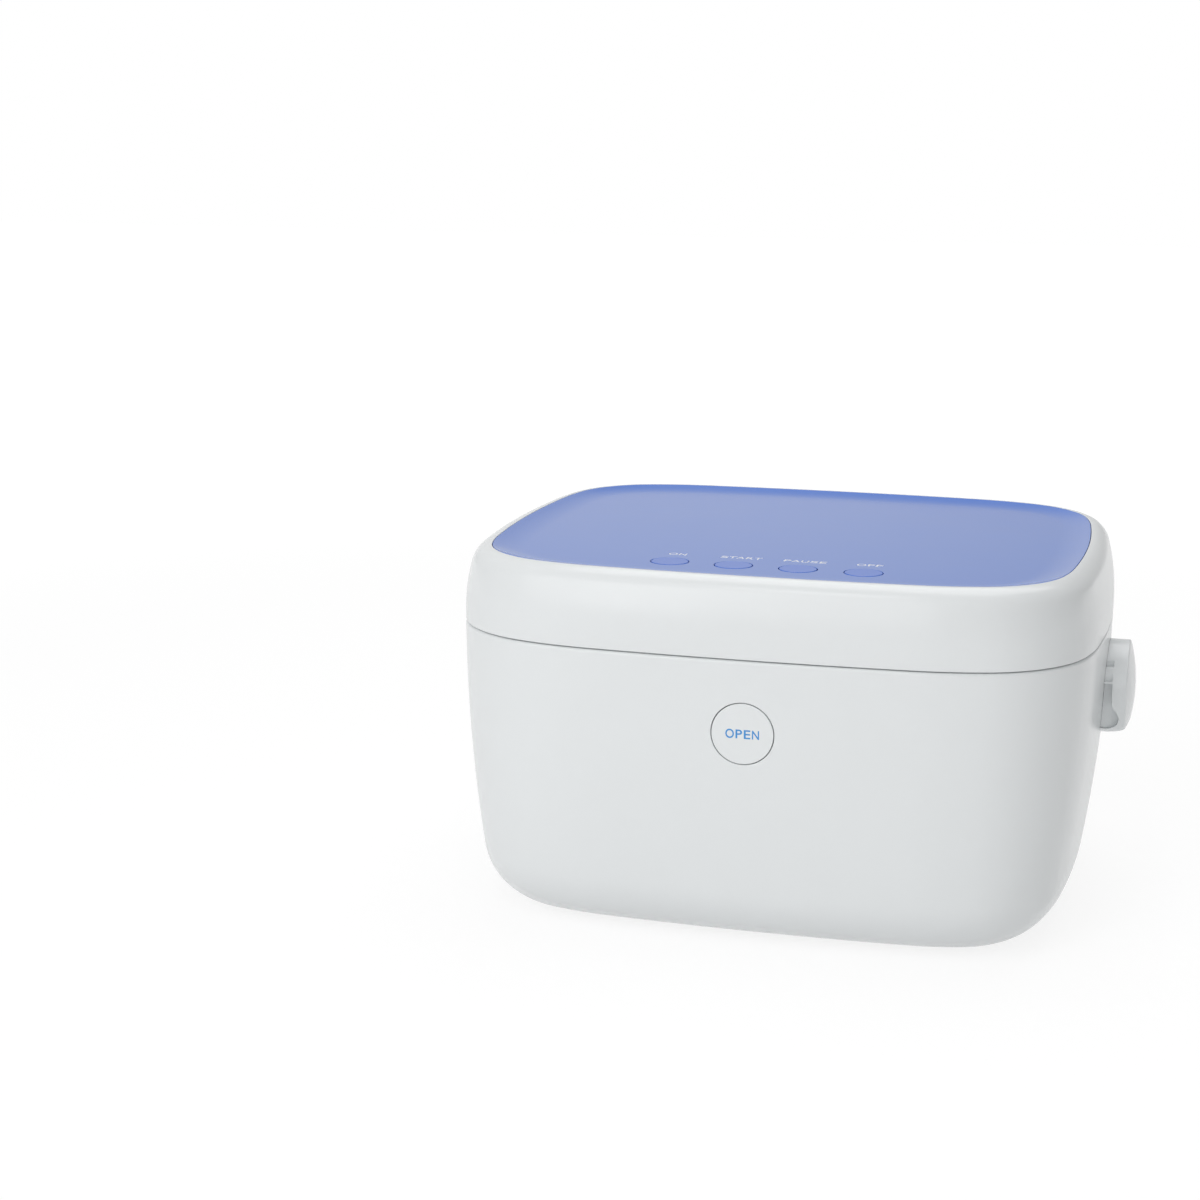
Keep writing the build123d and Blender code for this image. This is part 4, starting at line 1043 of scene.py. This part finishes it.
# %% The tree that repeats the screw
def screw_tree():
    """Head and shank on every point, turned to the point's direction."""
    inputs = {"Seats": "Geometry", "Head": "Object", "Shank": "Object", "Finish": "Material"}
    tree, names, start = new_tree("screws_on_points", inputs)
    link = tree.links.new

    def attribute(name):
        node = node_in(tree, "GeometryNodeInputNamedAttribute", data_type="FLOAT_VECTOR")
        node.inputs["Name"].default_value = name
        return node.outputs["Attribute"]

    aim = node_in(tree, "FunctionNodeAlignRotationToVector", axis="Z")
    link(attribute("direction"), aim.inputs["Vector"])
    both = node_in(tree, "GeometryNodeJoinGeometry")
    for part, size in (("Head", "head_size"), ("Shank", "shank_size")):
        info = node_in(tree, "GeometryNodeObjectInfo")
        info.inputs["As Instance"].default_value = True
        link(start.outputs[part], info.inputs["Object"])
        spread = node_in(tree, "GeometryNodeInstanceOnPoints")
        link(start.outputs["Seats"], spread.inputs["Points"])
        link(info.outputs["Geometry"], spread.inputs["Instance"])
        link(aim.outputs["Rotation"], spread.inputs["Rotation"])
        link(attribute(size), spread.inputs["Scale"])
        link(spread.outputs["Instances"], both.inputs["Geometry"])
    close_tree(tree, start, both.outputs["Geometry"])
    return tree, names


SCREWS, SCREW_INPUTS = screw_tree()
print("inputs of the screw tree:", list(SCREW_INPUTS))

# %% [markdown]
# ## Where the screws sit
# A seat is a place, the way the head faces, the head's radius and height, and the radius
# and length of the shank. Screws that differ only in place are listed as one row. The rim
# screws come in eights, two for each wall, at an equal distance in from the outline.


# %% Helpers for seats
def back_y(x, inset):
    """Y of the back wall's outline at x, moved inwards, measured from the middle."""
    return math.sqrt((FRONT_R - inset) ** 2 - x * x) + DEPTH / 2 - FRONT_R


def side_x(y, inset):
    """X of the right wall's outline at y, moved inwards."""
    return math.sqrt((SIDE_R - inset) ** 2 - y * y) + WIDTH / 2 - SIDE_R


def rim_row(inset, height, front_x, hind_x, flank_y):
    """Eight places round a rim, at one height: two on each wall."""
    spots = [(side * front_x, -back_y(front_x, inset), height) for side in PAIR]
    spots += [(side * hind_x, back_y(hind_x, inset), height) for side in PAIR]
    spots += [(side * side_x(flank_y, inset), end * flank_y, height) for side in PAIR for end in PAIR]
    return spots


def row(places, facing, size, length):
    """Seats that differ only in place. A size is head radius, head height and shank radius."""
    return [(place, facing, *size, length) for place in places]


print("walls", round(side_x(0, 0), 1), "and", round(back_y(0, 0), 1), "mm from the middle")

# %% Seats of the base's screws, then of the lid's
UP, DOWN, FORWARD, BACK = (0, 0, 1), (0, 0, -1), (0, -1, 0), (0, 1, 0)
PLAIN, LOW, STUD = (2.7, 1.3, 1.35), (2.7, 1.2, 1.35), (3.2, 1.6, 1.5)
TINY, CATCH = (2.3, 1.2, 1.2), (2.4, 1.2, 1.2)
STUD_Z, STUD_GAP, HINGE_SCREW = 114.0, 0.2, 12.0
stud_seat = WIDTH / 2 - wall_inset(STUD_Z, WALL) - STUD_GAP
board_spots = [(-60.0 + x, 40.0 + y, 10.2) for x in (-39.0, 39.0) for y in (-24.0, 24.0)]
BRACKET = ((17.0, -130.2, 80.0), (24.0, -129.5, 112.0))
bracket_spots = [(side * x, y, z) for side in PAIR for x, y, z in BRACKET]
hinge_spots = [side * HINGE_X + end * HINGE_SCREW for side in PAIR for end in PAIR]
control_spots = [(x, -91.0 + y, 171.4) for x in (-68.0, 68.0) for y in (-9.0, 9.0)]
base_seats = (
    row(rim_row(6.5, 145.8, 70.0, 26.0, 55.0), UP, PLAIN, 12.0)
    + row(rim_row(ledge_in - 5.5, 3.3, 55.0, 55.0, 35.0), DOWN, PLAIN, 6.0)
    + row(board_spots, UP, PLAIN, 6.0)
    + row(bracket_spots, BACK, PLAIN, 4.2)
    + row([(x, 131.5, 126.0) for x in hinge_spots], FORWARD, PLAIN, 3.9)
    + row([(-stud_seat, 0.0, STUD_Z)], (1, 0, 0), STUD, 11.0)
    + row([(stud_seat, 0.0, STUD_Z)], (-1, 0, 0), STUD, 11.0)
)
lid_seats = (
    row(rim_row(7.0, 149.0, 70.0, 26.0, 55.0), DOWN, LOW, 9.0)
    + row([(x, 119.0, 152.2) for x in hinge_spots], UP, PLAIN, 3.2)
    + row(control_spots, DOWN, TINY, 6.0)
    + row([(side * 12.5, -120.3, 151.8) for side in PAIR], UP, CATCH, 2.8)
)
print("seats:", len(base_seats), "in the base and", len(lid_seats), "in the lid")


# %% Screws on their seats
def screws_on(name, seats, body, replaced):
    """All the screws of one body as one piece."""
    mesh = bpy.data.meshes.new(name + "_seats")
    mesh.from_pydata([(x * MM, (y + CENTRE_Y) * MM, z * MM) for (x, y, z), *_ in seats], [], [])
    sizes = {
        "direction": [seat[1] for seat in seats],
        "head_size": [(seat[2], seat[2], seat[3]) for seat in seats],
        "shank_size": [(seat[4], seat[4], seat[5]) for seat in seats],
    }
    for key, values in sizes.items():
        layer = mesh.attributes.new(key, "FLOAT_VECTOR", "POINT")
        layer.data.foreach_set("vector", np.array(values, float).ravel())
    holder = new_object(name + "_seats", mesh)
    values = {"Head": HEAD, "Shank": SHANK, "Finish": FINISHES["screw_steel"]}
    piece = grown(holder, name, SCREWS, SCREW_INPUTS, values)
    smooth(piece.data, 40.0)
    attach(piece, body)
    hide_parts(*replaced)
    print(name, len(seats), "screws,", len(piece.data.polygons), "faces")


IN_BASE = ["deck_screws", "cover_screws", "power_board_screws"]
IN_BASE += ["bracket_screws", "hinge_screws_base", "stud_screws"]
IN_LID = ["lid_screws", "hinge_screws_lid", "control_board_screws", "catch_screws"]
screws_on("screws_of_base", base_seats, "base", IN_BASE)
screws_on("screws_of_lid", lid_seats, "lid", IN_LID)
for used in (HEAD, SHANK):
    bpy.data.objects.remove(used)

# %% [markdown]
# ## The wire rack
# The rack that holds the mask off the floor is bent and welded wire: one loop that
# follows the outline, two stiffeners within it and thirteen thinner wires laid across.
# Each is a curve with a round section, so one tree that takes the wire's radius makes all.


# %% The wire tree
def wire_tree():
    """Round wire along every curve."""
    inputs = {"Runs": "Geometry", "Wire radius": "Float", "Finish": "Material"}
    tree, names, start = new_tree("round_wire", inputs)
    circle = node_in(tree, "GeometryNodeCurvePrimitiveCircle")
    circle.inputs["Resolution"].default_value = WIRE_SIDES
    tree.links.new(start.outputs["Wire radius"], circle.inputs["Radius"])
    sweep = sweep_along(tree, start, "Runs", circle.outputs["Curve"])
    sweep.inputs["Fill Caps"].default_value = True
    return tree, names


WIRE_SIDES = 20
WIRE, WIRE_INPUTS = wire_tree()
print("inputs of the wire tree:", list(WIRE_INPUTS))


# %% Making and joining wires
def wire(runs, radius, closed=False, finish="rack_steel"):
    """Mesh objects of one wire thickness along several runs."""
    values = {"Wire radius": radius * MM, "Finish": FINISHES[finish]}
    return [grown(curve_of("run", run, closed), "wire", WIRE, WIRE_INPUTS, values) for run in runs]


def joined(name, things):
    """One mesh object from several."""
    work = bmesh.new()
    for thing in things:
        work.from_mesh(thing.data)
    mesh = bpy.data.meshes.new(name)
    work.to_mesh(mesh)
    work.free()
    mesh.materials.append(things[0].data.materials[0])
    for thing in things:
        bpy.data.objects.remove(thing)
    return new_object(name, mesh)


# %% The rack
RACK_INSET, RACK_Z, FRAME_WIRE, CROSS_WIRE = 28.0, 38.0, 2.0, 1.25
STIFFENER_Y, PITCH, WELD = 60.0, 18.0, 0.25
loop = [(x, y, RACK_Z) for x, y in outline_points(RACK_INSET)]
long_reach = side_x(STIFFENER_Y, RACK_INSET)
stiffeners = [[(end * long_reach, side * STIFFENER_Y + CENTRE_Y, RACK_Z) for end in PAIR] for side in PAIR]
crossing_z = RACK_Z + FRAME_WIRE + CROSS_WIRE - WELD
crossings = []
for step in range(-6, 7):
    x = step * PITCH
    past = abs(x) - CORNER.x
    reach = back_y(x, RACK_INSET)
    if past > 0:
        reach = CORNER.y + math.sqrt((CORNER_R - RACK_INSET) ** 2 - past**2)
    crossings.append([(x, end * reach + CENTRE_Y, crossing_z) for end in PAIR])
frame_wires = wire([loop], FRAME_WIRE, closed=True) + wire(stiffeners, FRAME_WIRE)
rack = joined("rack_wires", frame_wires + wire(crossings, CROSS_WIRE))
smooth(rack.data, 40.0)
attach(rack, "base")
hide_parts("wire_rack")
compare(rack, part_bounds("wire_rack"))

# %% [markdown]
# ## The spring behind the front button
# A small compression spring pushes the front button back out. Its end turns lie wire on
# wire and the turns between them are open, so its line is a helix whose climb changes.
# It can't just follow the button, because its other end stays on the guide, so it goes
# with the base.

# %% Spring
SPRING_R, SPRING_WIRE, SPRING_FRONT, PRESS = 6.0, 0.4, -135.8 + CENTRE_Y, 2.5
TURNS, CLIMBS = (0.0, 1.0, 3.4, 4.4), (0.0, 0.8, 5.1, 5.9)  # turns made, and the climb by then
STEPS_A_TURN = 24
helix = []
for i in range(round(TURNS[-1] * STEPS_A_TURN) + 1):
    turn = i / STEPS_A_TURN
    a = 2 * math.pi * turn
    climb = float(np.interp(turn, TURNS, CLIMBS))
    helix.append((SPRING_R * math.cos(a), SPRING_FRONT + climb, OPEN_Z + SPRING_R * math.sin(a)))
spring = joined("button_spring", wire([helix], SPRING_WIRE, finish="spring_steel"))
smooth(spring.data, 40.0)
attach(spring, "base")
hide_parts("open_button_spring")
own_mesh(spring)
compare(spring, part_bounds("open_button_spring"))
